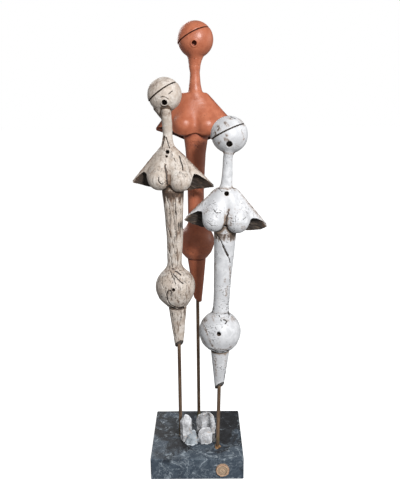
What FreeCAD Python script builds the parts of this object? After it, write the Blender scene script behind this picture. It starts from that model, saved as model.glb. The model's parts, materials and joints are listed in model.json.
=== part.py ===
"""Three fired-clay figures on bronze rods, standing in a block of dark marble. Millimetres.

Frame: origin at the centre of the marble's underside, +Z up, the maker's seal on the -Y face, +X to the
right when the seal is faced. A figure's own heights are measured from the marble's top face along its rod.
"""

import FreeCAD
import Part

import math
import os

from FreeCAD import Placement, Rotation, Vector

# ---- marble block -------------------------------------------------------------------------------
BASE_SIDE = 125.0
BASE_HEIGHT = 30.0
BASE_CORNER_R = 2.0
BASE_EDGE_R = 1.2

# ---- rods and what they fit ---------------------------------------------------------------------
ROD_R = 2.4
ROD_DEPTH = 20.0  # length of rod sunk in the marble
GLUE_GAP = 0.05  # radial room for glue round a rod in the marble
RUNNING_GAP = 0.08  # radial clearance where a guide or cap moves on a rod
FREE_GAP = 0.4  # radial room where clay passes a rod or cap without touching it
ROD_ABOVE_HIP = 28.0  # from the hip ball's crown up to the rod's tip
CAP_WALL = 1.2
CAP_LENGTH = 12.0
CAP_R = ROD_R + RUNNING_GAP + CAP_WALL
SEAT_LENGTH = 16.0
GUIDE_LENGTH = 14.0
BEAD_R = 4.6
BEAD_HEIGHT = 1.3

# ---- clay ---------------------------------------------------------------------------------------
WALL = 3.0
LEG_WALL = 2.4
TIP_SOLID = 7.0  # solid clay at each wing tip
CROWN_SINK = 1.2  # depth of the rebate that the crown lies in
CROWN_PROUD = 0.4
GROOVE = 0.9  # open line left between crown and face
EYE_R = 3.2
EYE_DEPTH = 14.0

# ---- maker's seal -------------------------------------------------------------------------------
SEAL_X, SEAL_Z = 33.9, 14.2
SEAL_R, SEAL_THICK = 9.6, 3.0
SEAL_RIM, SEAL_SINK = 3.0, 0.9

# Every figure: rod foot on the marble, lean towards +X in degrees, then its parts from the leg up.
# "tip", "top" are (sideways, height, radius), "at" is (sideways, height) or (sideways, depth, height),
# "waist" and "neck" are lists of (sideways, depth, height, radius). "hole" and "eye" are offsets to the
# right and up from the ball's centre, "breast" is (shift of the pair, half their distance, depth, up,
# radius), "vents" are (to the right, up, radius) from the foot of the neck. "cut", "tilt", "roll" and
# "pitch" are degrees.
FIGURES = {
    "front": {
        "foot": (28.1, -34.0),
        "lean": 1.4,
        "leg": {"tip": (0.0, 92.0, 5.6), "top": (0.0, 146.5, 12.8), "cut": 45.0, "cut_turn": 26.0},
        "hip": {"at": (-0.9, 172.0), "r": 27.1, "hole": (-2.2, 6.6, 2.8)},
        "waist": [(-0.7, 0, 190.0, 10.8), (0.3, 0, 250.0, 11.8), (1.2, 0, 311.0, 15.3)],
        "bust": {"at": (2.2, 317.0), "tilt": -4.6, "span": 52.0, "neck_r": 11.0,
                 "depth": (17.0, 14.0), "breast": (0.0, 14.2, -12.0, 4.5, 14.3), "notch": 9.0,
                 "vents": [(0.5, -2.8, 2.7)]},
        "neck": [(2.1, 0, 356.0, 8.3), (2.2, -0.5, 364.0, 6.3),
                 (3.0, -1.5, 388.0, 5.7), (4.2, -2.5, 412.0, 6.0)],
        "head": {"at": (4.8, 2.0, 424.0), "r": 22.0, "eye": (-0.9, -9.5),
                 "crown": {"roll": -26.3, "pitch": -11.0, "above": 3.0}},
    },
    "left": {
        "foot": (-23.7, -2.0),
        "lean": 0.0,
        "leg": {"tip": (0.0, 139.0, 5.2), "top": (-0.9, 196.0, 12.4), "cut": 45.0, "cut_turn": 26.0},
        "hip": {"at": (-3.3, 223.5), "r": 26.4, "hole": (-1.5, 3.3, 2.3)},
        "waist": [(-4.2, 0, 240.0, 8.9), (-3.3, 0, 300.0, 11.2), (-3.5, 0, 357.0, 14.8)],
        "bust": {"at": (-3.2, 361.5), "tilt": -4.0, "span": 52.0, "neck_r": 11.5,
                 "depth": (17.0, 13.0), "breast": (-4.3, 13.0, -12.0, 5.8, 14.0), "notch": 10.0,
                 "vents": [(0.3, -2.6, 2.2), (-1.0, -7.4, 1.2)]},
        "neck": [(-9.5, 0, 404.5, 9.2), (-9.3, -0.5, 413.0, 7.1),
                 (-9.0, -3.0, 430.0, 6.2), (-10.2, -8.0, 458.0, 5.6)],
        "head": {"at": (-11.7, 2.0, 471.0), "r": 20.8, "eye": (0.7, -9.1),
                 "crown": {"roll": -33.8, "pitch": -7.9, "above": 3.3}},
    },
    "back": {
        "foot": (2.0, 44.0),
        "lean": 0.0,
        "leg": {"tip": (0.6, 189.0, 5.0), "top": (-0.75, 250.0, 13.0), "cut": -38.0, "cut_turn": 50.0},
        "hip": {"at": (-1.0, 274.0), "r": 25.0, "hole": None},
        "waist": [(-1.2, 0, 290.0, 11.0), (-1.1, 0, 338.0, 11.3), (-0.2, 0, 421.0, 15.2)],
        "bust": {"at": (0.4, 427.5), "tilt": 0.0, "span": 53.3, "neck_r": 14.0,
                 "depth": (17.0, 14.0), "breast": (-0.2, 14.5, -12.5, 5.2, 14.4), "notch": 8.0,
                 "vents": []},
        "neck": [(-0.6, 0, 476.0, 9.1), (-0.9, 0, 484.0, 7.0),
                 (-1.0, -1.0, 502.0, 5.8), (-0.4, -5.0, 526.0, 6.2)],
        "head": {"at": (0.85, 2.0, 539.0), "r": 22.8, "eye": (-1.6, -6.0),
                 "crown": {"roll": -26.1, "pitch": -10.7, "above": 4.1}},
    },
}

# Stones: foot (x, y), turn in degrees, height, foot size (x, y), waist and top share of the foot,
# sideways shift of the top and how much higher its left side stands.
STONES = {
    "stone_tall": ((-15.8, -14.6), 8, 39.8, (16.0, 13.0), 1.02, 0.42, (0.4, 0.6), 3.0),
    "stone_slab": ((12.3, 2.4), -4, 35.0, (26.6, 13.6), 1.0, 0.55, (1.5, 0.0), -3.0),
    "stone_front": ((11.2, -21.9), 6, 17.8, (20.0, 14.0), 1.04, 0.75, (0.5, 2.0), 1.5),
    "stone_grey": ((-8.8, -26.6), 6, 17.0, (17.6, 10.0), 0.97, 0.5, (1.0, 2.4), 2.0),
    "stone_chip": ((23.7, -20.3), 4, 11.4, (3.2, 6.3), 1.0, 0.6, (0.0, 0.5), 0.8),
}


def disc(centre, radius, axis=Vector(0, 0, 1)):
    return Part.Wire([Part.Circle(centre, axis, radius).toShape()])


def skin(rings):
    """A solid lofted smoothly through circles given as (x, y, z, radius)."""
    return Part.makeLoft([disc(Vector(x, y, z), r) for x, y, z, r in rings], True, False)


def shaft(radius, low, high, x=0.0, y=0.0):
    return Part.makeCylinder(radius, high - low, Vector(x, y, low))


def tilted(shape, centre, roll, pitch=0.0):
    """Turns shape about centre: roll about Y, positive lowers the right side, then pitch about X."""
    turn = Rotation(Vector(0, 1, 0), roll).multiply(Rotation(Vector(1, 0, 0), pitch))
    shape.Placement = Placement(Vector(), turn, centre).multiply(shape.Placement)
    return shape


def stand(figure):
    """Places what is measured along a figure's rod on the marble's top."""
    return Placement(Vector(*figure["foot"], BASE_HEIGHT), Rotation(Vector(0, 1, 0), figure["lean"]))


def rod_top(figure):
    return figure["hip"]["at"][1] + figure["hip"]["r"] + ROD_ABOVE_HIP


def make_leg(figure):
    """Hollow cone whose mouth is cut on a slant."""
    (x0, z0, r0), (x1, z1, r1) = figure["leg"]["tip"], figure["leg"]["top"]
    below = 14.0
    grow = (r1 - r0) / (z1 - z0)
    low = (x0, 0, z0 - below, r0 - grow * below)
    body = skin([low, (x1, 0, z1, r1)])
    bore = skin([(x0, 0, z0 - below, low[3] - LEG_WALL), (x1, 0, z1, r1 - LEG_WALL)])
    knife = Part.makeBox(80, 80, 60, Vector(-40, -40, -60))
    turn = Rotation(Vector(0, 0, 1), figure["leg"]["cut_turn"])
    knife.Placement = Placement(
        Vector(x0, 0, z0), turn.multiply(Rotation(Vector(1, 0, 0), -figure["leg"]["cut"]))
    )
    body = body.cut(bore).cut(shaft(ROD_R + FREE_GAP, z0 - below - 1, z1 + 1))
    return body.cut(knife), bore.cut(knife)


def make_hip(figure):
    """Hollow ball that runs into a flat ring where the leg joins."""
    (x, z), r = figure["hip"]["at"], figure["hip"]["r"]
    leg_x, leg_z, leg_r = figure["leg"]["top"]
    ball = Part.makeSphere(r, Vector(x, 0, z))
    funnel_top = z - 0.55 * r
    funnel = skin([(leg_x, 0, leg_z, leg_r + 0.6), (x, 0, funnel_top, 0.835 * r)])
    floor = Part.makeBox(4 * r, 4 * r, 2 * r, Vector(x - 2 * r, -2 * r, leg_z - 2 * r))
    ball = ball.fuse(funnel).cut(floor)
    ball = ball.cut(Part.makeSphere(r - WALL, Vector(x, 0, z)))
    ball = ball.cut(shaft(leg_r - LEG_WALL, leg_z - 1, z, leg_x)).cut(shaft(6.0, z, z + r + 5))
    if figure["hip"]["hole"]:
        side, up, hole_r = figure["hip"]["hole"]
        ball = ball.cut(Part.makeCylinder(hole_r, r + 5, Vector(x + side, -r - 5, z + up), Vector(0, 1, 0)))
    return ball.removeSplitter()


def make_waist(figure):
    """Tapering hollow column, its foot fitted over the crown of the hip ball."""
    (x, z), r = figure["hip"]["at"], figure["hip"]["r"]
    rings = figure["waist"]
    bore = skin([(rx, ry, rz, rr - WALL) for rx, ry, rz, rr in rings])
    cap_way = shaft(CAP_R + FREE_GAP, rings[0][2] - 1, rod_top(figure) + CAP_WALL)
    waist = skin(rings).cut(bore).cut(cap_way).cut(Part.makeSphere(r, Vector(x, 0, z)))
    return waist.removeSplitter(), bore


def lens(centre, half, front, back):
    """A pointed oval of two arcs, its tips half to the left and right of its centre."""
    left, right = centre - Vector(half, 0, 0), centre + Vector(half, 0, 0)
    return Part.Wire([
        Part.Arc(left, centre - Vector(0, front, 0), right).toShape(),
        Part.Arc(right, centre + Vector(0, back, 0), left).toShape(),
    ])


def make_bust(figure):
    """Cape of clay sloping down to two wing tips, open below, with breasts on its front and a core."""
    bust = figure["bust"]
    x, z = bust["at"]
    span, neck_r, tilt = bust["span"], bust["neck_r"], bust["tilt"]
    front, back = bust["depth"]
    shift, side, forward, up, breast_r = bust["breast"]
    waist_x, _, waist_z, waist_r = figure["waist"][-1]
    neck_x, _, neck_z, neck_foot_r = figure["neck"][0]
    top_r = max(neck_r, neck_foot_r + 0.6)
    top_depth = 0.8 * top_r
    middle, top = Vector(x, 0, z), Vector(neck_x, 0, neck_z)
    lower = tilted(lens(middle, span, front, back), middle, -tilt)
    upper = lens(top, top_r, top_depth, top_depth)
    shell = Part.makeLoft([lower, upper], True, True)
    inner = tilted(lens(middle, span - TIP_SOLID, front - WALL, back - WALL), middle, -tilt)
    vault = lens(top - Vector(0, 0, 3 * WALL), top_r - WALL, top_depth - WALL, top_depth - WALL)
    shell = shell.cut(Part.makeLoft([inner, vault], True, True))
    for s in (-1, 1):
        corners = [(s * (span + 1), -1.5), (s * 0.58 * span, bust["notch"]),
                   (s * 0.42 * span, bust["notch"] - 4), (s * 0.42 * span, -10), (s * (span + 1), -10)]
        corners = [middle + Vector(across, 0, above) for across, above in corners]
        wedge = Part.Face(Part.makePolygon(corners + corners[:1])).extrude(Vector(0, -40, 0))
        shell = shell.cut(tilted(wedge, middle, -tilt))
    shell = shell.fuse(skin([(waist_x, 0, waist_z, waist_r), (neck_x, 0, neck_z - 2.5 * WALL, neck_foot_r)]))
    for s in (-1, 1):
        drop = s * side * math.sin(math.radians(tilt))
        shell = shell.fuse(Part.makeSphere(breast_r, Vector(x + shift + s * side, forward, z + up + drop)))
    shell = shell.cut(shaft(waist_r + 0.4, waist_z - 30, waist_z, waist_x))
    for vent_side, vent_down, vent_r in bust["vents"]:
        mouth = Vector(neck_x + vent_side, -18, neck_z + vent_down)
        shell = shell.cut(Part.makeCylinder(vent_r, 12, mouth, Vector(0, 1, 0)))
    return shell.removeSplitter()


def make_neck(figure):
    x, y, z = figure["head"]["at"]
    ball = Part.makeSphere(figure["head"]["r"], Vector(x, y, z))
    return skin(figure["neck"]).cut(ball)


def crown_space(figure, lift, outer, inner):
    """The part of a hollow sphere that lies above the crown's slanting edge."""
    head = figure["head"]
    centre = Vector(*head["at"])
    crown = head["crown"]
    side = 4 * head["r"]
    block = Part.makeBox(side, side, side, centre + Vector(-side / 2, -side / 2, crown["above"] + lift))
    tilted(block, centre, crown["roll"], crown["pitch"])
    shell = Part.makeSphere(outer, centre)
    if inner:
        shell = shell.cut(Part.makeSphere(inner, centre))
    return shell.common(block)


def make_head(figure):
    """Hollow ball with a round eye hole and a rebate that holds the crown; the crown is a shell."""
    head = figure["head"]
    x, y, z = head["at"]
    r = head["r"]
    ball = Part.makeSphere(r, Vector(x, y, z)).cut(Part.makeSphere(r - WALL - CROWN_SINK, Vector(x, y, z)))
    ball = ball.cut(crown_space(figure, 0.0, r + 1, r - CROWN_SINK))
    side, up = head["eye"]
    ball = ball.cut(Part.makeCylinder(EYE_R, EYE_DEPTH, Vector(x + side, y - r - 4, z + up), Vector(0, 1, 0)))
    crown = crown_space(figure, GROOVE, r + CROWN_PROUD, r - CROWN_SINK)
    return ball, crown


def make_rod_parts(figure, leg_bore, waist_bore):
    """Rod, the cap on its tip, the guide round it in the leg and the seat for the cap in the waist."""
    top = rod_top(figure)
    rod = shaft(ROD_R, -ROD_DEPTH, top)
    cap = shaft(CAP_R, top - CAP_LENGTH, top + CAP_WALL)
    cap = cap.cut(shaft(ROD_R + RUNNING_GAP, top - CAP_LENGTH - 1, top))
    tip_z = figure["leg"]["tip"][1]
    clear = shaft(ROD_R + RUNNING_GAP, tip_z - 30, tip_z + 60)
    guide = leg_bore.common(shaft(30, tip_z - 30, tip_z + GUIDE_LENGTH)).cut(clear)
    seat = waist_bore.common(shaft(30, top - SEAT_LENGTH + 4, top + 4))
    seat = seat.cut(shaft(CAP_R + RUNNING_GAP, top - SEAT_LENGTH, top + CAP_WALL))
    return {"rod": rod, "rod_cap": cap, "leg_guide": guide, "rod_seat": seat}


def make_figure(name, figure):
    leg, leg_bore = make_leg(figure)
    waist, waist_bore = make_waist(figure)
    head, crown = make_head(figure)
    parts = {"leg": leg, "hip_ball": make_hip(figure), "waist": waist, "bust": make_bust(figure),
             "neck": make_neck(figure), "head": head, "crown": crown}
    parts.update(make_rod_parts(figure, leg_bore, waist_bore))
    placed = {}
    for part, shape in parts.items():
        shape.Placement = stand(figure).multiply(shape.Placement)
        placed[f"{name}_{part}"] = shape
    bead = Part.makeCone(BEAD_R, ROD_R + 0.3, BEAD_HEIGHT, Vector(*figure["foot"], BASE_HEIGHT))
    placed[f"{name}_rod_bead"] = bead.cut(placed[f"{name}_rod"])
    return placed


def make_base():
    half = BASE_SIDE / 2
    block = Part.makeBox(BASE_SIDE, BASE_SIDE, BASE_HEIGHT, Vector(-half, -half, 0))
    upright = [e for e in block.Edges if abs(e.tangentAt(e.FirstParameter).z) > 0.9]
    block = block.makeFillet(BASE_CORNER_R, upright)
    rim = [e for e in block.Edges if e.BoundBox.ZMin > BASE_HEIGHT - 0.01]
    block = block.makeFillet(BASE_EDGE_R, rim)
    for figure in FIGURES.values():
        hole = shaft(ROD_R + GLUE_GAP, -ROD_DEPTH, 5)
        hole.Placement = stand(figure)
        block = block.cut(hole)
    return block


def make_stone(foot, turn, height, size, belly, top_share, shift, slope):
    """A broken lump of stone: an uneven six-sided foot, belly and top, joined by flat faces."""
    outline = [(-0.5, -0.25), (-0.18, -0.5), (0.34, -0.46), (0.5, 0.1), (0.2, 0.5), (-0.4, 0.42)]

    def ring(share, level, dx, dy, lean):
        points = [
            Vector(dx + share * size[0] * u, dy + share * size[1] * v, level - lean * u) for u, v in outline
        ]
        return Part.makePolygon(points + points[:1])

    rings = [ring(0.92, 0, 0, 0, 0), ring(belly, 0.55 * height, 0.3 * shift[0], 0.3 * shift[1], 0),
             ring(top_share, height - abs(slope) / 2 * top_share, shift[0], shift[1], slope)]
    stone = Part.makeLoft(rings, True, True)
    stone.Placement = Placement(Vector(*foot, BASE_HEIGHT), Rotation(Vector(0, 0, 1), turn))
    return stone


def make_seal():
    """Pressed clay disc with a raised rim and a plain ring of relief, glued on the front face."""
    face_y = -BASE_SIDE / 2
    out = Vector(0, -1, 0)
    centre = Vector(SEAL_X, face_y, SEAL_Z)
    disc_body = Part.makeCylinder(SEAL_R, SEAL_THICK, centre, out)
    edge = [e for e in disc_body.Edges if e.BoundBox.YMax < face_y - SEAL_THICK + 0.01]
    disc_body = disc_body.makeFillet(1.2, edge)
    dish = Part.makeCylinder(SEAL_R - SEAL_RIM, SEAL_SINK + 1, centre + out * (SEAL_THICK - SEAL_SINK), out)
    ring_r = 0.42 * SEAL_R
    ring = Part.makeCylinder(ring_r, 0.5, centre + out * (SEAL_THICK - SEAL_SINK), out).cut(
        Part.makeCylinder(ring_r - 1.0, 0.5, centre + out * (SEAL_THICK - SEAL_SINK), out))
    return disc_body.cut(dish).fuse(ring).removeSplitter()


def main():
    os.makedirs("parts", exist_ok=True)
    nodes = {"marble_base": make_base(), "makers_seal": make_seal()}
    for name, stone in STONES.items():
        nodes[name] = make_stone(*stone)
    for name, figure in FIGURES.items():
        nodes.update(make_figure(name, figure))
    for name, shape in nodes.items():
        solids = shape.Solids
        if len(solids) != 1 or not shape.isValid():
            print(name, "solids", len(solids), "valid", shape.isValid(), [round(s.Volume, 1) for s in solids])
        shape.exportStep(f"parts/{name}.step")
    box = Part.makeCompound(list(nodes.values())).BoundBox
    print("overall", [round(v, 1) for v in (box.XMin, box.XMax, box.YMin, box.YMax, box.ZMin, box.ZMax)])


main()
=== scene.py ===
"""Looks of the clay figure group: three clay figures on rods in a marble block, modelled in a shared frame.

Clay, stones, glue and seal are sculpted as distance fields in millimetres, skinned with surface nets and
given painted shade by how deep each point lies in a crease. A figure's fields are in its own frame: x sideways,
y in depth (front is negative), z up its rod from the marble's top.
"""

import json
import math

import bmesh
import bpy
import numpy as np
from mathutils import Matrix, Vector


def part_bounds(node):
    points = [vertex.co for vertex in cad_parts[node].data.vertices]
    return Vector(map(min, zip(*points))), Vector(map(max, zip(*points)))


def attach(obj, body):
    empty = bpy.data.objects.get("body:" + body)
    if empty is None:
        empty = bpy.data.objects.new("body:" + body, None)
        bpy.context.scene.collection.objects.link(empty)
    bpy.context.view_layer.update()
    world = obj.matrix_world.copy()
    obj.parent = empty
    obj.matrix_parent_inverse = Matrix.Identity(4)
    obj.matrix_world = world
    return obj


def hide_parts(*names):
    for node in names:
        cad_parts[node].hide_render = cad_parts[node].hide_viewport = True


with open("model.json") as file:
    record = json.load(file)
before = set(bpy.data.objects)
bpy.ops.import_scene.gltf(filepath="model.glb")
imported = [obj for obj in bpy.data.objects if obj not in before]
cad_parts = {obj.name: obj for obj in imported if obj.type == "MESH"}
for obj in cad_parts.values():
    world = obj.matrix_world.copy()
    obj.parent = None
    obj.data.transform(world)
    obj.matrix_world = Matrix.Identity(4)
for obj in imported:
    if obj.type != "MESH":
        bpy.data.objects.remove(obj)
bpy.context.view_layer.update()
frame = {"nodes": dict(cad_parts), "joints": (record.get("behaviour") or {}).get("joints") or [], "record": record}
RECORD = frame["record"]

MM = 0.001
STEP = 0.8  # spacing of a skin's points, mm
FAR = 60.0
SLOTS = {part["node"]: part["material_slot"] for part in RECORD["subparts"]}

MARBLE_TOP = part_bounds("marble_base")[1].z / MM
SEAL_LOW, SEAL_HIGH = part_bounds("makers_seal")


# ---- noise and distance fields ----
def lattice(cells, seed):
    """Repeatable values from -1 to 1 on whole-number points."""
    mixed = cells[..., 0] * 73856093 ^ cells[..., 1] * 19349663 ^ cells[..., 2] * 83492791 ^ seed * 40503
    mixed = (mixed ^ (mixed >> 13)) * 1274126177 & 0x7FFFFFFF
    mixed = (mixed ^ (mixed >> 15)) * 668265263 & 0x7FFFFFFF
    return ((mixed >> 8) & 0xFFFF) / 32767.5 - 1.0


def noise(points, size, seed=0):
    """Smooth noise from about -1 to 1 with bumps about size across; size may be one number or three."""
    scaled = points / np.asarray(size, float)
    cell = np.floor(scaled).astype(np.int64)
    part = scaled - cell
    part = part * part * (3.0 - 2.0 * part)
    total = np.zeros(len(points))
    for corner in np.ndindex(2, 2, 2):
        weight = np.prod(np.where(corner, part, 1.0 - part), axis=1)
        total += weight * lattice(cell + np.array(corner), seed)
    return total


def rough(points, size, seed=0, octaves=3):
    """Noise with finer noise on it."""
    total = np.zeros(len(points))
    for octave in range(octaves):
        total += noise(points, np.asarray(size, float) / 2.0**octave, seed + 17 * octave) / 2.0**octave
    return total / 1.6


def join(a, b, soft):
    """Union of two fields with a fillet about soft across."""
    h = np.maximum(soft - np.abs(a - b), 0.0) / soft
    return np.minimum(a, b) - h * h * soft * 0.25


def both(a, b, soft=0.01):
    """What two fields share, its edge rounded over soft."""
    return -join(-a, -b, soft)


def ball(centre, radius):
    centre = np.array(centre, float)
    return lambda p: np.linalg.norm(p - centre, axis=1) - radius


def pear(low, low_r, high, high_r):
    """A round cone from one ball to another."""
    low, high = np.array(low, float), np.array(high, float)
    axis = high - low

    def field(p):
        t = np.clip((p - low) @ axis / (axis @ axis), 0.0, 1.0)
        return np.linalg.norm(p - low - t[:, None] * axis, axis=1) - (low_r + (high_r - low_r) * t)

    return field


def column(stations, soften=6.0):
    """A round column through stations (x, y, z, radius), its corners softened over that length."""
    x, y, z, r = np.array(stations, float).T
    grid = np.arange(z[0] - 40.0, z[-1] + 40.0, 0.5)
    kernel = np.hanning(2 * int(soften) + 3)
    kernel /= kernel.sum()
    margin = len(kernel) // 2
    longer = np.arange(-margin, len(grid) + margin) * 0.5 + grid[0]
    tracks = []
    for track in (x, y, r):
        tracks.append(np.convolve(np.interp(longer, z, track), kernel, "valid"))

    def field(p):
        cx, cy, cr = (np.interp(p[:, 2], grid, track) for track in tracks)
        return np.hypot(p[:, 0] - cx, p[:, 1] - cy) - np.maximum(cr, 0.2)

    return field


def path_distance(across, up, points):
    """Distance in a plane from each point to a line through given points."""
    nearest = np.full(len(across), FAR)
    for (x0, z0), (x1, z1) in zip(points, points[1:]):
        dx, dz = x1 - x0, z1 - z0
        t = np.clip(((across - x0) * dx + (up - z0) * dz) / (dx * dx + dz * dz + 1e-9), 0.0, 1.0)
        nearest = np.minimum(nearest, np.hypot(across - x0 - t * dx, up - z0 - t * dz))
    return nearest


def slope_of(field, points, reach=0.15):
    """Outward normals of a field at points."""
    normal = np.empty_like(points)
    for axis in range(3):
        offset = np.zeros(3)
        offset[axis] = reach
        normal[:, axis] = field(points + offset) - field(points - offset)
    length = np.linalg.norm(normal, axis=1, keepdims=True)
    return normal / np.maximum(length, 1e-9), length[:, 0] / (2 * reach)


def surface_net(field, low, high, step):
    """Points and four-sided faces of a field's zero surface inside a box."""
    low, high = np.array(low, float), np.array(high, float)
    counts = np.ceil((high - low) / step).astype(int) + 1
    lines = [low[i] + step * np.arange(counts[i]) for i in range(3)]
    values = np.empty(counts)
    for i, x in enumerate(lines[0]):
        plane = np.stack(np.meshgrid([x], lines[1], lines[2], indexing="ij"), -1).reshape(-1, 3)
        values[i] = field(plane).reshape(counts[1], counts[2])
    for axis in range(3):
        for end in (0, -1):
            edge = [slice(None)] * 3
            edge[axis] = end
            values[tuple(edge)] = np.maximum(values[tuple(edge)], 0.01)
    inside = values < 0.0
    cells = tuple(counts - 1)
    filled = np.zeros(cells, int)
    for corner in np.ndindex(2, 2, 2):
        filled += inside[tuple(slice(c, c + n) for c, n in zip(corner, cells))]
    active = (filled > 0) & (filled < 8)
    where = np.argwhere(active)
    index = np.full(cells, -1)
    index[active] = np.arange(len(where))
    total = np.zeros((len(where), 3))
    hits = np.zeros(len(where))
    for axis in range(3):
        along = np.eye(3, dtype=int)[axis]
        for corner in np.ndindex(2, 2, 2):
            if corner[axis]:
                continue
            start = where + np.array(corner)
            a, b = values[tuple(start.T)], values[tuple((start + along).T)]
            cross = (a < 0) != (b < 0)
            t = np.where(cross, a / np.where(cross, a - b, 1.0), 0.0)
            total += np.where(cross[:, None], np.array(corner) + t[:, None] * along, 0.0)
            hits += cross
    points = low + step * (where + total / hits[:, None])
    faces = []
    for axis in range(3):
        b, c = np.eye(3, dtype=int)[(axis + 1) % 3], np.eye(3, dtype=int)[(axis + 2) % 3]
        first = tuple(slice(0, n - 1) if i == axis else slice(1, n - 1) for i, n in enumerate(counts))
        second = tuple(slice(1, n) if i == axis else slice(1, n - 1) for i, n in enumerate(counts))
        start, stop = inside[first], inside[second]
        shift = np.array([0 if i == axis else 1 for i in range(3)])
        for crossing, order in ((start & ~stop, (0, 1, 2, 3)), (~start & stop, (3, 2, 1, 0))):
            at = np.argwhere(crossing) + shift
            ring = [index[tuple(cell.T)] for cell in (at, at - b, at - b - c, at - c)]
            faces.append(np.stack([ring[k] for k in order], 1))
    return points, np.concatenate(faces)


def skin(field, low, high, step=None, passes=3):
    """Surface net of a field, its points moved onto the surface, with their outward normals."""
    step = step or STEP
    points, faces = surface_net(field, low, high, step)
    for _ in range(passes):
        normal, steep = slope_of(field, points)
        move = field(points) / np.maximum(steep, 0.3)
        points = points - normal * np.clip(move, -0.5 * step, 0.5 * step)[:, None]
    normal, _ = slope_of(field, points)
    return points, faces, normal


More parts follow.
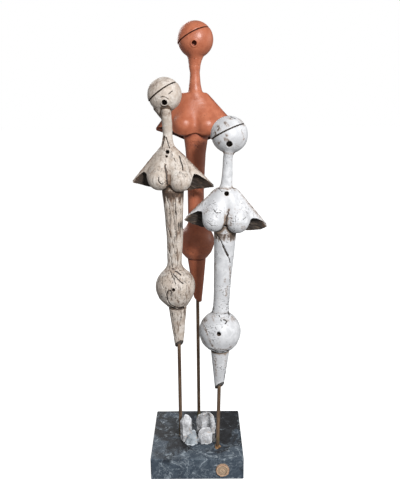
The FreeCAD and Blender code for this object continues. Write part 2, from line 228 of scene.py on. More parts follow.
# ---- the three figures ----
# All in millimetres in the figure's own frame. "leg", "waist" and "neck" are columns of (x, y, z, radius)
# stations. "mouth" is a point on the leg's slanting cut and the way it faces. "hip" and "head" are balls.
# "hip_holes" and "vents" are (x, z, radius). The bust's "tips" are its wing tips, "shoulders" the ends and
# height of its top edge, "depth" how far its front and back stand out at the bottom, "hem" the back slab's
# lower edge and "arches" the front slab's. "breasts" are pears given as low centre, radius, high centre,
# radius, and "cleft" the softness between them. "collar" is the pear under the head. "eye" is the hole's
# (x, z, radius), "eye_lip" its rim's thickness. "crown" is the plane (normal, distance) under the crown.
# Each "fillet" is the softness where that part meets the next.
FIGURES = {
    "front": {
        "leg": [(0, 0, 76, 4.2), (0, 0, 92, 5.9), (0, 0, 120, 9.2), (0, 0, 146.5, 12.4)],
        "mouth": ((0, 0, 92), (0.36, -0.66, -0.66)),
        "hip": ((-0.9, 0, 172), 27.1),
        "hip_holes": [(-3.1, 178.6, 2.6)],
        "waist": [(-1.2, 0, 192, 12.6), (-0.7, 0, 199, 11.4), (0, 0, 208, 10.2), (0.5, 0, 230, 10.6),
                  (0.9, 0, 250, 11.3), (1.9, 0, 276, 12.7), (2.3, 0, 299, 13.6), (2.4, 0, 315, 15)],
        "waist_fillet": 1.4,
        "tips": ((-50.5, 319.6), (56.0, 313.4)),
        "shoulders": (-9.4, 15.0, 360.0),
        "depth": (16.0, 12.5),
        "hem": [(-52, 320.4), (-49, 318.4), (-37.7, 312.6), (-27, 308.6), (-15, 306), (2, 304.5),
                (20, 304.5), (37, 305.6), (47.3, 307.4), (54.5, 312), (58, 315)],
        "arches": [(-52, 320), (-48.3, 322.1), (-40.2, 327), (-32.7, 331), (-27, 332), (-24, 326),
                   (28, 322), (32.6, 324.6), (41.4, 323), (47.8, 319.8), (53.4, 315.6), (58, 313)],
        "breasts": [((-12.0, -12, 322.2), 14.2, (-5, -1, 342), 10),
                    ((16.5, -12, 320.8), 14.3, (9.5, -1, 342), 10)],
        "cleft": 3.5,
        "vents": [(2.6, 354.6, 2.7)],
        "neck": [(1.9, 0, 355, 10.2), (1.9, 0, 359, 8.7), (2.6, -0.3, 365, 7.1), (3.0, -0.8, 373, 6.5),
                 (3.2, -1.6, 386, 6.0), (3.2, -2.6, 397, 5.8), (4.0, -6.5, 408, 5.6), (4.2, -10, 412, 5.2)],
        "neck_fillet": 2.5,
        "head": ((4.8, 2, 424), 22.0),
        "collar": ((3.7, 0.2, 399), 5.4, (4.4, 1.8, 404), 7.4),
        "head_fillet": 2.0,
        "eye": (3.9, 414.4, 3.5),
        "eye_lip": 0.0,
        "eye_depth": 11.0,
        "crown": ((-0.435, 0.191, 0.88), 3.0),
    },
    "left": {
        "leg": [(0, 0, 122, 4.2), (0, 0, 139, 5.6), (-0.5, 0, 168, 9.2), (-0.9, 0, 196, 12.3)],
        "mouth": ((0, 0, 139), (0.34, -0.66, -0.67)),
        "hip": ((-3.3, 0, 223.5), 26.4),
        "hip_holes": [(-4.8, 226.8, 2.0)],
        "waist": [(-3.9, 0, 244, 9.8), (-3.75, 0, 251.5, 9.3), (-3.5, 0, 260, 9.6), (-3.2, 0, 275, 10.2),
                  (-3.1, 0, 295, 10.8), (-3.2, 0, 321, 11.9), (-3.5, 0, 340, 13.1), (-3.9, 0, 360, 15)],
        "waist_fillet": 9.0,
        "tips": ((-56.5, 364.2), (50.2, 357.2)),
        "shoulders": (-18.3, -0.8, 408.0),
        "depth": (16.0, 12.5),
        "hem": [(-58, 365), (-55, 362.4), (-45.4, 359.6), (-34.4, 356), (-15, 351), (0, 349.5),
                (13.8, 350.4), (32.4, 353.4), (48.5, 356), (52, 358)],
        "arches": [(-58, 363), (-53.7, 366.1), (-45.8, 372.9), (-40.2, 377), (-36, 375), (-33, 368),
                   (19, 368), (23.6, 374), (29, 372.4), (38.6, 365.9), (48.2, 358.9), (52, 356)],
        "breasts": [((-20.5, -12, 368.3), 13.8, (-14, -1.5, 390), 9),
                    ((5.5, -12, 366.4), 14.2, (-2, -1.5, 390), 9)],
        "cleft": 3.5,
        "vents": [(-9.2, 402.2, 2.3), (-10.5, 396.9, 1.3)],
        "neck": [(-9.5, 0, 402, 11.2), (-9.5, -0.3, 407, 9.3), (-9.3, -1, 413, 7.3), (-9.0, -2, 424, 6.4),
                 (-9.2, -4.5, 437, 6.3), (-9.8, -8.0, 448, 6.1), (-10.6, -11.2, 456, 5.5)],
        "neck_fillet": 3.0,
        "head": ((-11.7, 2, 471), 20.8),
        "collar": ((-12.4, 2, 443), 4.8, (-13.6, 3, 454.5), 12.6),
        "head_fillet": 1.2,
        "eye": (-11.2, 461.9, 3.1),
        "eye_lip": 0.45,
        "eye_depth": 11.0,
        "crown": ((-0.551, 0.137, 0.823), 3.3),
    },
    "back": {
        "leg": [(0.6, 0, 172, 4.0), (0.6, 0, 189, 5.6), (0, 0, 220, 9.4), (-0.75, 0, 250, 12.9)],
        "mouth": ((0.6, 0, 189), (-0.48, 0.36, -0.8)),
        "hip": ((-1.0, 0, 274), 25.0),
        "hip_holes": [],
        "waist": [(-1.2, 0, 290, 11.6), (-1.1, 0, 304, 11), (-1.0, 0, 330, 11), (-0.9, 0, 345, 11.1),
                  (-0.6, 0, 375, 12.2), (-0.4, 0, 395, 13.4), (-0.2, 0, 405, 14.6), (0, 0, 424, 17)],
        "waist_fillet": 6.0,
        "tips": ((-54.5, 426.4), (57.5, 427.0)),
        "shoulders": (-18.5, 14.5, 473.5),
        "depth": (17.0, 13.5),
        "hem": [(-56, 428), (-53, 425.6), (-45, 422.6), (-30.5, 419), (-21.9, 415), (-12, 411), (0, 410),
                (14, 411), (35, 418.5), (53, 426), (58, 429)],
        "arches": [(-56, 426.5), (-52, 428.4), (-42, 431), (-34, 430.5), (-28, 425), (28, 425), (34, 430.5),
                   (42, 431), (54, 428.4), (58, 426.5)],
        "breasts": [((-14.5, -12.5, 433.2), 14.3, (-8, -1, 453), 9),
                    ((14.5, -12.5, 432.2), 14.5, (8, -1, 453), 9)],
        "cleft": 9.0,
        "vents": [],
        "neck": [(-0.3, 0, 470, 10.6), (-0.3, 0, 475.5, 9.2), (-0.55, 0, 484, 7.7), (-0.45, -0.4, 494, 6.6),
                 (-0.65, -1.2, 506, 6.1), (-0.8, -3.2, 514, 6.2), (-0.4, -9, 524, 5.8),
                 (-0.3, -11.5, 529, 5)],
        "neck_fillet": 3.0,
        "head": ((0.85, 2, 539), 22.8),
        "collar": ((-0.7, 0.6, 507), 6.6, (0.2, 1.6, 519), 10.6),
        "head_fillet": 5.0,
        "eye": (-0.75, 533.0, 3.0),
        "eye_lip": 0.6,
        "eye_depth": 6.5,
        "crown": ((-0.432, 0.185, 0.883), 4.1),
    },
}

# Sizes in mm shared by the three figures.
LEG_WALL = 2.2
CAPE_WALL = 2.6
HOLLOW_TOP = 16.0  # how far below the shoulders the bust's hollow ends
RIDGE = 0.8  # how far the bust's outline stands outside the line from shoulder to tip
CROWN_SINK = 1.7  # how deep the crown lies in the head's rebate
CROWN_PROUD = 0.35  # how far the crown stands out of the head's ball
CROWN_SHIFT = np.array([-0.5, -0.2, -0.1])  # it has slid a little to the left
GROOVE = 1.15  # how wide the open line under the crown is
HEAD_SEAM = 3.2  # how far outside the head's ball its clay ends and the neck's begins
WAIST_SEAM = 5.0  # how far above the hip ball the waist's own clay begins
NECK_SEAM = 6.0  # how far above the neck's first station the bust's clay ends
LAP = 1.6  # how far a part runs on under its neighbour, so that no gap shows


def clip_low(field, low, soft=0.01):
    return lambda p: both(field(p), low - p[:, 2], soft)


def clip_high(field, high, soft=0.01):
    return lambda p: both(field(p), p[:, 2] - high, soft)


def tuck(past):
    """Shrinks a part where it runs on under its neighbour."""
    return 0.22 * np.clip(past / LAP, 0.0, 1.0)


def bore(p, hole, back_of):
    """A round hole that runs straight in from the front."""
    x, z, radius = hole
    return both(np.hypot(p[:, 0] - x, p[:, 2] - z) - radius, p[:, 1] - back_of)


def cape_frame(p, spec):
    """Where each point is between the bust's sloping edges (-1 to 1), half their distance there, and how
    deep the outer faces of its front and back slabs are."""
    (left_x, left_z), (right_x, right_z) = spec["tips"]
    shoulder_left, shoulder_right, top = spec["shoulders"]
    x, _, z = p.T
    edge_left = shoulder_left + (left_x - shoulder_left) * (top - z) / (top - left_z) - RIDGE
    edge_right = shoulder_right + (right_x - shoulder_right) * (top - z) / (top - right_z) + RIDGE
    half = np.maximum((edge_right - edge_left) / 2, 1.0)
    middle = (edge_left + edge_right) / 2
    fall = np.clip((top - z) / (top - min(left_z, right_z)), 0.0, 1.2)
    front, back = spec["depth"]
    return (x - middle) / half, half, 9.5 + (front - 9.5) * fall, 8.0 + (back - 8.0) * fall


def cape(p, spec):
    """The bust's two sloping slabs, open between them below, the front one arched over each wing."""
    x, y, z = p.T
    top = spec["shoulders"][2]
    across, half, front, back = cape_frame(p, spec)
    bow = 1.0 - np.abs(across) ** 2.5
    outer = both(-front * bow - y, y - back * bow, 0.9)
    inner_bow = 1.0 - np.abs(across * half / np.maximum(half - 3.5, 1.0)) ** 2.5
    hollow = both((CAPE_WALL - front) * inner_bow - y, y - (back - CAPE_WALL) * inner_bow)
    hollow = both(hollow, z - (top - HOLLOW_TOP), 3.0)
    hem = np.interp(x, *np.array(spec["hem"], float).T)
    arch = np.interp(x, *np.array(spec["arches"], float).T)
    front_cut = both(z - arch, y - 0.5, 0.8)
    (left_x, _), (right_x, _) = spec["tips"]
    ends = both(left_x - 0.2 - x, x - right_x - 0.2)
    shape = both(both(both(outer, z - top, 3.0), hem - z, 1.0), ends, 1.5)
    return both(both(shape, -hollow, 0.6), -front_cut, 0.8) * 0.85


def cape_paint(p, spec):
    """1 on the faces inside the bust's hollow, painted as shade, and how near its sloping edges each point is."""
    across, _, front, back = cape_frame(p, spec)
    bow = 1.0 - np.abs(across) ** 2.5
    deep = np.minimum(p[:, 1] + front * bow, back * bow - p[:, 1])
    low = np.clip((spec["shoulders"][2] - 12.0 - p[:, 2]) / 4.0, 0.0, 1.0)
    return np.clip((deep - 1.1) / 1.0, 0.0, 1.0) * low, np.clip((np.abs(across) - 0.80) / 0.2, 0.0, 1.0)


def clay_fields(spec):
    """The fields of one figure's seven clay parts."""
    (hip_x, _, hip_z), hip_r = hip = spec["hip"]
    head_c, head_r = spec["head"]
    head_c = np.array(head_c, float)
    leg, waist, neck = (column(spec[part]) for part in ("leg", "waist", "neck"))
    leg_x, _, leg_z, leg_r = spec["leg"][-1]
    leg_bore = column([(x, y, z, r - LEG_WALL) for x, y, z, r in spec["leg"]])
    tip, lip = np.array(spec["mouth"][0], float), np.array(spec["mouth"][1], float)
    lip /= np.linalg.norm(lip)
    hip_ball, collar, round_head = ball(*hip), pear(*spec["collar"]), ball(head_c, head_r)
    funnel = column([(leg_x, 0, leg_z, leg_r + 0.7), (hip_x, 0, hip_z - 0.56 * hip_r, 0.81 * hip_r)], 3.0)
    funnel = clip_high(funnel, hip_z - 0.5 * hip_r, 3.0)
    seam = hip_z + hip_r + WAIST_SEAM
    crown_up = np.array(spec["crown"][0], float)
    crown_up /= np.linalg.norm(crown_up)
    pears = [pear(*breast) for breast in spec["breasts"]]
    waist_x, _, waist_z, waist_r = spec["waist"][-1]
    neck_x, _, neck_z, neck_r = spec["neck"][0]
    core = pear((waist_x, 1.0, waist_z), waist_r - 3.5, (neck_x, 1.0, neck_z - 6), neck_r - 3)
    neck_foot = clip_low(neck, neck_z - 5.0, 4.0)
    waist_foot = clip_low(waist, hip_z)
    eye_x, eye_z, eye_r = spec["eye"]
    eye_y = head_c[1] - math.sqrt(head_r**2 - (eye_x - head_c[0]) ** 2 - (eye_z - head_c[2]) ** 2)
    eye_out = (np.array([eye_x, eye_y, eye_z]) - head_c) / head_r

    def head_ball(p):
        return join(round_head(p), collar(p), 1.5)

    def leg_field(p):
        solid = both(leg(p), (p - tip) @ lip, 0.8)
        solid = both(solid, -both(leg_bore(p), p[:, 2] - (leg_z - 8)), 0.6)
        return both(solid, p[:, 2] - leg_z)

    def hip_field(p):
        solid = join(join(hip_ball(p), funnel(p), 4.0), waist_foot(p), spec["waist_fillet"])
        solid += tuck(p[:, 2] - seam)
        solid = both(both(solid, p[:, 2] - seam - LAP), leg_z + 0.15 - p[:, 2], 0.6)
        for hole in spec["hip_holes"]:
            solid = both(solid, -bore(p, hole, -0.6 * hip_r), 0.5)
        return solid

    def waist_field(p):
        solid = join(waist(p), hip_ball(p), spec["waist_fillet"])
        return both(both(solid, p[:, 2] - waist_z), seam - p[:, 2])

    def bust_field(p):
        chest = join(pears[0](p), pears[1](p), spec["cleft"])
        solid = join(join(cape(p, spec), chest, 8.0), core(p), 2.5)
        solid = join(solid, neck_foot(p), spec["neck_fillet"])
        solid = both(solid, p[:, 2] - (neck_z + NECK_SEAM))
        for hole in spec["vents"]:
            solid = both(solid, -bore(p, hole, -1.0), 0.5)
        return solid

    def neck_field(p):
        solid = join(clip_high(neck, spec["neck"][-1][2], 5.0)(p), head_ball(p), spec["head_fillet"])
        solid = join(solid, cape(p, spec), spec["neck_fillet"])
        solid += tuck(neck_z + NECK_SEAM - p[:, 2])
        outside_head = head_r + HEAD_SEAM - np.linalg.norm(p - head_c, axis=1)
        return both(both(solid, outside_head, 0.8), neck_z + NECK_SEAM - LAP - p[:, 2])

    def above_crown(p):
        return (p - head_c) @ crown_up - spec["crown"][1]

    def face(p):
        solid = join(head_ball(p), clip_high(neck, spec["neck"][-1][2], 5.0)(p), spec["head_fillet"])
        past = np.linalg.norm(p - head_c, axis=1) - head_r - HEAD_SEAM
        return both(solid + tuck(past), past - LAP)

    def head_field(p):
        solid = face(p)
        if spec["eye_lip"]:
            from_eye = p - (head_c + eye_out * (head_r + 0.1))
            deep = from_eye @ eye_out
            ring = np.hypot(np.linalg.norm(from_eye - deep[:, None] * eye_out, axis=1) - eye_r - 1.0, deep)
            solid = join(solid, ring - spec["eye_lip"], 1.6)
        solid = both(solid, -bore(p, spec["eye"], eye_y + spec["eye_depth"]), 0.7)
        rebate = both(-above_crown(p), head_r - CROWN_SINK - np.linalg.norm(p - head_c, axis=1))
        return both(solid, -rebate, 0.5)

    def crown_field(p):
        reach = np.linalg.norm(p - head_c - CROWN_SHIFT, axis=1)
        shell = both(reach - head_r - CROWN_PROUD, head_r - CROWN_SINK - np.linalg.norm(p - head_c, axis=1))
        return both(shell, GROOVE - above_crown(p), 0.9)

    return {"leg": leg_field, "hip_ball": hip_field, "waist": waist_field, "bust": bust_field,
            "neck": neck_field, "head": head_field, "crown": crown_field}


# ---- marks ----
# Per figure and kind: (width in mm, strength, points (x, z) along the mark in the figure's frame), or
# (width, strength, height z) for a mark that runs all round.
# "crack" is an open dark line, "score" a fine scratch, "stain_and_shade" a soft brown patch without depth,
# mostly a stain but painted shade in the back figure's cleft and under the left figure's head, "ridge" a
# raised lip, "fold" a shallow groove between lumps of clay, "belt" a band of painted shade all round
# where parts join and under the head, "drip" painted shade all round just under the bust's hem, running
# down in streaks, and "ring" a dark groove all round.
# FLECKS are the left ends of the short scratches on the front figure's breasts.
FLECKS = [(5.5, 327.2), (8.2, 323.6), (5.4, 319.4), (9.4, 315.6), (13.6, 319.2), (15.6, 326.4),
          (19.6, 321.4), (12.4, 311.2), (18.2, 314.6), (22.6, 317.2), (-18.6, 312.4), (-13.4, 309.6),
          (-22.4, 315.8)]
MARKS = {
    "front": {
        "crack": [
            (0.9, 0.8, (7.7, 116.9), (7, 109), (6.3, 103.6)),
            (0.9, 1, (-2.8, 197.5), (-1.8, 195.7), (-0.3, 193.1)),
            (1, 0.9, (2.9, 194), (6.9, 192.7), (4.8, 190)), (0.7, 0.8, (-22.2, 184.8), (-20.6, 182.5)),
            (1.3, 1, (-12.5, 154.6), (-5, 151.6), (3, 150.9), (10.5, 152.6)),
            (2, 1, (-12.6, 148.2), (-4, 147), (5, 146.9), (12.2, 148.4)),
            (1, 0.9, (-9.6, 304.5), (-5.2, 299.6), (-2.4, 294.5), (-0.1, 289.7)),
            (1.9, 1, (-0.1, 289.7), (3.2, 283.2), (6.4, 277.1)),
            (0.8, 0.8, (6.4, 277.1), (8.4, 272), (9.7, 267.6)),
            (1.8, 1, (-12.5, 199.2), (-11.2, 203.4), (-10.7, 206)), (1.5, 1, (10.6, 197.4), (9.8, 200.6)),
            (0.8, 0.9, (-7.1, 360), (-3.3, 356.9), (-0.9, 358.2)), (0.8, 0.8, (6.4, 361.4), (9, 358.3)),
            (0.8, 0.8, (-13.2, 336.7), (-10, 333), (-4.5, 333.1)),
            (1, 1, (4.9, 333), (3.4, 327.3), (2.1, 319.4)),
            (0.7, 0.7, (15.6, 333.4), (12.7, 327.2), (13.4, 322)),
            (0.7, 0.7, (21.4, 324.8), (27.4, 328.7)),
        ],
        "score": [
            (0.7, 0.8, (-14, 165.6), (-12.6, 163.2)),
            (0.8, 0.8, (-21.4, 322.9), (-15.2, 318), (-10.3, 317.4)),
            (0.7, 0.6, (17.5, 330.5), (22.5, 326.4)), (0.8, 0.6, (1.5, 392), (2.6, 380)),
            (0.9, 0.9, (5.4, 445.3), (10.5, 443.5)), (0.9, 0.9, (13.2, 441.5), (15.3, 439.3)),
            *((0.7, 0.95, (x, z), (x + 3.4, z - 0.5)) for x, z in FLECKS),
        ],
        "stain_and_shade": [
            (3, 0.75, (-6.5, 140), (-4.5, 112)), (2.6, 0.7, (7.5, 138), (6.5, 124)),
            (4.2, 0.85, (-22.2, 184.8), (-16.2, 172.9), (-13.5, 164.8), (-6.7, 155.4)),
            (5, 0.9, (-24, 186), (-19, 190)), (4, 0.7, (-24, 168), (-17, 157)),
            (3.6, 0.8, (-4, 157), (6, 155.5), (15, 159)), (3.2, 0.8, (3.5, 248), (3.4, 243)),
            (2.6, 0.85, (9.4, 262), (9.8, 246)), (3, 0.8, (6.5, 236), (5.5, 224)),
            (2.6, 0.7, (-8.5, 268), (-8.8, 258)), (2, 0.4, (-5.3, 253.6), (-5.1, 251)),
            (4.5, 0.9, (5.4, 337), (3.4, 327.3), (2.1, 318.4)), (5, 0.8, (8.5, 329), (7.5, 319)),
            (4, 0.6, (-20, 336), (-24, 331)), (4.4, 0.85, (-7, 362), (-12.5, 357)),
            (4, 0.75, (9.5, 363), (14, 358)), (2.2, 0.4, (5.6, 384), (5.2, 374)),
            (4.6, 0.9, (-2, 420.5), (1.5, 418.5)), (4, 0.85, (-0.3, 425.3), (1, 423.8)),
            (4.2, 0.85, (-12.1, 427.6), (-12.4, 423.6)), (4, 0.8, (-7.6, 417), (-8.6, 413.3)),
            (4.2, 0.5, (11.7, 413.9), (13.1, 411)), (5, 0.95, (-9.5, 434.5), (-9, 429.5)),
            (4.2, 0.9, (-1.5, 438.5), (1.5, 435)), (4.5, 0.85, (15, 443), (21, 436)),
            (3.6, 0.8, (2, 444.5), (6.5, 443)),
        ],
        "ridge": [(0.8, 0.7, (-16.3, 353.9), (-10.8, 359.4))],
        # Bands of painted shade where parts join and under the head.
        "belt": [(3, 0.8, 361), (3, 0.5, 200), (2.2, 0.8, 148), (2.6, 0.6, 403)],
        # Painted shade under the bust's hem, running down in streaks.
        "drip": [(11, 1, 304)],
        "ring": [(1.5, 1, 147.2), (0.8, 0.7, 150.6), (1.2, 0.6, 199.6)],
    },
    "left": {
        "crack": [
            (0.8, 0.8, (-8.7, 190.9), (-7, 173.4), (-4.7, 152.6)),
            (0.8, 0.7, (4.1, 185), (3.4, 177), (2.5, 168.9)),
            (1.2, 1, (-2.8, 248.4), (0.6, 246.9), (4.7, 243.9)),
            (1, 0.9, (-5.3, 245.4), (1.5, 239.5), (8.1, 233.5)),
            (0.8, 0.8, (-8.8, 247.8), (-4.4, 240.2), (-1.7, 234.4)),
            (0.9, 0.7, (-20.2, 239.3), (-20, 232.7), (-17.2, 227)),
            (1.1, 1, (-8.4, 226), (-12.5, 224.6), (-14, 219.1), (-12.4, 209.4), (-9.4, 203.7),
             (-3, 199.6)),
            (1.2, 0.9, (-12.5, 199.6), (-3, 197.2), (7.5, 198.4)),
            (1, 0.9, (-10, 196.9), (-1, 194.8), (8, 196.2)),
            (0.8, 0.7, (0.3, 352.3), (0.1, 343.5), (-1.2, 323.1)), (0.8, 0.7, (3.1, 315.3), (2.6, 300)),
            (0.9, 0.8, (-11.1, 305.1), (-5.8, 286.7), (-1.4, 266.8)),
            (0.9, 0.8, (-12.3, 278.9), (-7.6, 262.9), (-5.9, 249.4)),
            (1, 1, (5.5, 396.7), (7.2, 390.8), (9.5, 384.9), (10.2, 380.1)),
            (0.8, 0.8, (-5, 403.3), (-2.5, 396.8), (0.7, 390.9)),
            (1.2, 1, (-12.2, 385.8), (-10.1, 373.9), (-9.7, 363.2)),
            (1, 0.9, (-19.8, 372.9), (-20.3, 368.2), (-18.3, 364.9), (-15.3, 364.2)),
            (0.8, 0.8, (-17, 367.5), (-14.7, 365.4), (-11.7, 366.3)),
            (0.7, 0.7, (5.4, 379.1), (6.7, 376.2)), (0.7, 0.7, (10.8, 374.4), (13.8, 373.2)),
            (1, 1, (-12.7, 420.9), (-14.7, 413.9), (-16, 408.1)),
            (1, 1, (-11.1, 419.8), (-8.7, 412.8), (-6.4, 406.9)), (0.7, 0.8, (-3.3, 415.1), (-1.6, 408)),
            (0.9, 0.6, (-17.7, 467.4), (-13.4, 468.6), (-9.9, 468), (-6.9, 466.1), (-5.3, 463.4)),
            (0.8, 0.8, (-5.7, 471.1), (-3.4, 473.4), (-1, 475.3)),
        ],
        "score": [
            (0.7, 0.6, (-1.6, 182), (-1.2, 166)), (0.7, 0.5, (6.5, 176), (4.6, 160)),
            (0.8, 0.7, (8.5, 214), (12.5, 222), (12.8, 231)), (0.7, 0.7, (5.8, 330), (4.6, 292)),
            (0.7, 0.6, (-13, 330), (-12.2, 300)), (0.7, 0.7, (-4, 388), (0.5, 382)),
            (0.7, 0.7, (-1, 389), (3.4, 381.5)), (0.8, 0.25, (-10.4, 446), (-9.6, 430)),
            (0.7, 0.6, (-24, 470), (-20.5, 461)), (0.7, 0.5, (-15.5, 462), (-15.8, 457)),
            (0.8, 0.5, (-22, 485), (-14, 488)), (0.8, 0.5, (-17, 482), (-6, 484.5)),
            (0.8, 0.6, (-13, 491), (-5, 489.5)),
        ],
        "stain_and_shade": [
            # The first patch here is painted shade under the head, where it narrows to the neck.
            (7, 1, (-24, 453), (-17, 446)), (3.2, 0.9, (10, 382), (10.4, 379.5)),
            (5, 1, (-12.2, 386.8), (-10.3, 375), (-9.7, 362.5)), (3, 0.5, (-16, 396), (-20, 388)),
            (5, 0.8, (-14, 420), (-16, 407)), (4, 0.7, (-6.4, 415), (-3, 405)),
            (6, 0.7, (-28, 480), (-18, 486)), (4, 0.5, (-14, 488), (-6, 487)),
        ],
        "ridge": [
            (1.1, 0.5, (-17.7, 468.6), (-13.4, 469.8), (-9.9, 469.2), (-6.4, 467.1), (-4.8, 464.2),
             (-2.3, 462.4)),
        ],
        "fold": [
            (1.5, 0.8, (-13.8, 348.6), (-9.1, 335.9), (-8.2, 320.6), (-8.4, 308)),
            (1.4, 0.8, (-3.8, 348.6), (-3.7, 320.5), (-0.9, 292), (-0.7, 266.8)),
        ],
        # Bands of painted shade where parts join and under the head.
        "belt": [(4, 0.6, 407), (4, 0.6, 248), (3, 0.8, 196), (5, 0.7, 449)],
        # Painted shade under the bust's hem, running down in streaks.
        "drip": [(17, 1.2, 350.5)],
        "ring": [(1.1, 0.9, 196.6), (0.8, 0.7, 199.2), (0.8, 0.7, 194), (0.9, 0.5, 352.5)],
    },
    "back": {
        "score": [
            (0.8, 0.6, (-16, 268), (-4, 263)), (0.8, 0.6, (-4, 352), (-3.2, 330)),
            (0.8, 0.3, (-24, 446), (-14, 452)), (0.7, 0.5, (10, 446), (20, 440)),
            (0.9, 0.9, (-1.5, 506.6), (1.4, 507.4), (4.2, 507.2)), (0.8, 0.5, (-8, 548), (4, 551)),
            (0.8, 0.5, (-4, 558), (8, 554)),
        ],
        # Painted shade in the cleft between the breasts.
        "stain_and_shade": [(4.5, 0.5, (0.6, 433), (0, 419))],
        "fold": [(2, 0.6, (-6, 412), (-3.2, 410), (0.7, 405.8), (5.8, 401.3))],
        # Bands of painted shade where parts join.
        "belt": [(3, 0.35, 298), (1.6, 0.7, 250)],
        # Painted shade under the bust's hem, running down in streaks.
        "drip": [(13, 0.5, 411)],
        "ring": [(1, 0.8, 250.2)],
    },
}

# Relief per figure: (size of the bumps as x, y, z in mm, height in mm, octaves).
RELIEF = {
    "front": [((9, 9, 9), 0.16, 3), ((2.4, 2.4, 2.4), 0.05, 2)],
    "left": [((8, 8, 14), 0.42, 3), ((2.6, 2.6, 6.5), 0.20, 2), ((1.3, 1.3, 2.4), 0.08, 1)],
    "back": [((16, 16, 16), 0.22, 2), ((4, 4, 4), 0.05, 2)],
}
# How deep a line of each kind sinks, how high its banks stand, and how dark it is.
LINE_KINDS = {
    "crack": (1.0, 0.25, 1.0),
    "score": (0.45, 0.1125, 0.75),
    "ridge": (-0.8, 0.0, 0.0),
    "fold": (0.8, 0.0, 0.5),
}
# How deep each figure's marks cut and how far its surface strays, in mm.
MARK_DEPTH = {"front": 0.85, "left": 1.15, "back": 0.7}
WOBBLE = {"front": 0.12, "left": 0.38, "back": 0.1}
GRAIN = {"head": 0.2, "crown": 0.3, "neck": 0.2, "bust": 0.55}  # how strongly bark shows, 1 on other parts
SLANT = np.array(Matrix.Rotation(math.radians(28), 3, "Y"))


def marked(points, marks, fig):
    """How far marks push each point inwards, how much dark colour they leave, and how much brown stain and painted
    shade.
    """
    depth, ink_and_shade, stain_and_shade = np.zeros((3, len(points)))
    height = points[:, 2]
    facing = points[:, 1] < 3.0
    warp = 0.55 * rough(points, 3.2, 5)

    def along(line, fade):
        """1 on a line drawn on the front, falling off over the distance fade."""
        away = path_distance(points[:, 0] + warp, height - warp, line)
        return np.where(facing, np.exp(-((away / fade) ** 2)), 0.0), away

    def cut(width, strength, line):
        """A line's groove, ragged and, when it is thin, broken, and the low bank beside it."""
        broken = 1.0 if width > 0.95 else np.clip(0.85 + 1.1 * noise(points, 2.4, 31), 0.0, 1.0)
        ragged = width * (1.0 + 0.35 * noise(points, 2.1, 9))
        groove, away = along(line, np.maximum(0.6 * ragged, 0.2))
        bank = np.exp(-(((away - 1.5 * width) / (0.6 * width)) ** 2))
        return groove * strength * broken, np.where(facing, bank, 0.0) * strength

    for kind, rows in marks.items():
        for width, strength, *line in rows:
            # A band of painted shade all round.
            if kind == "belt":
                band = np.abs(height - line[0] + 1.4 * noise(points, 5.0, 37)) / (0.7 * width)
                cloudy = 0.8 + 0.35 * noise(points, 2.0, 11)
                stain_and_shade = np.maximum(stain_and_shade, np.exp(-(band**2)) * cloudy * strength)
            # Painted shade below a height, running down in streaks.
            elif kind == "drip":
                below = np.maximum(line[0] - height, 0.0) / width
                above = np.exp(-((np.maximum(height - line[0], 0.0) / 2.5) ** 2))
                run = np.clip(1.05 - below + 0.9 * noise(points, (1.8, 1.8, 10.0), 37), 0.0, 1.0)
                stain_and_shade = np.maximum(stain_and_shade, above * run * np.clip(1.6 - below, 0.0, 1.0) * strength)
            elif kind == "ring":
                groove = np.abs(height - line[0] + 0.5 * noise(points, 6.0, 37)) / (0.6 * width)
                faint = np.clip(0.9 + 0.6 * noise(points, 4.0, 39), 0.0, 1.0)
                groove = np.exp(-(groove**2)) * strength * faint
                depth += groove
                ink_and_shade = np.maximum(ink_and_shade, groove)
            elif kind == "stain_and_shade":
                soft = along(line, 0.55 * width)[0] * (0.75 + 0.5 * noise(points, 1.6, 11))
                stain_and_shade = np.maximum(stain_and_shade, soft * strength)
            else:
                sinks, bank_share, inks = LINE_KINDS[kind]
                groove, bank = cut(width, strength, line)
                depth += sinks * groove - bank_share * bank
                ink_and_shade = np.maximum(ink_and_shade, inks * groove)
    return depth * MARK_DEPTH[fig], ink_and_shade, stain_and_shade


# ---- placing and meshing ----
def standing(figure):
    """Matrix from a figure's own frame in millimetres to the row frame in metres."""
    joint = next(j for j in frame["joints"] if j["name"] == f"{figure}_turn")
    up = Vector(joint["axis"]).normalized()
    side = Vector((0, 1, 0)).cross(up).normalized()
    deep = up.cross(side)
    turn = Matrix((side, deep, up)).transposed().to_4x4()
    foot = Vector((*joint["pos_m"][:2], MARBLE_TOP * MM))
    return Matrix.Translation(foot) @ turn @ Matrix.Scale(MM, 4)


def mesh_piece(name, points, faces, matrix, values):
    """A smooth-shaded object in the row frame, with one float attribute for each named value."""
    mesh = bpy.data.meshes.new(name)
    turn = np.array(matrix)
    placed = points @ turn[:3, :3].T + turn[:3, 3]
    mesh.vertices.add(len(placed))
    mesh.vertices.foreach_set("co", placed.astype(np.float32).ravel())
    mesh.loops.add(faces.size)
    mesh.loops.foreach_set("vertex_index", faces.astype(np.int32).ravel())
    mesh.polygons.add(len(faces))
    mesh.polygons.foreach_set("loop_start", np.arange(0, faces.size, 4, dtype=np.int32))
    mesh.update(calc_edges=True)
    mesh.validate()
    mesh.shade_smooth()
    for key, value in values.items():
        layer = mesh.attributes.new(key, "FLOAT", "POINT")
        layer.data.foreach_set("value", value.astype(np.float32))
    piece = bpy.data.objects.new(name, mesh)
    bpy.context.scene.collection.objects.link(piece)
    return piece


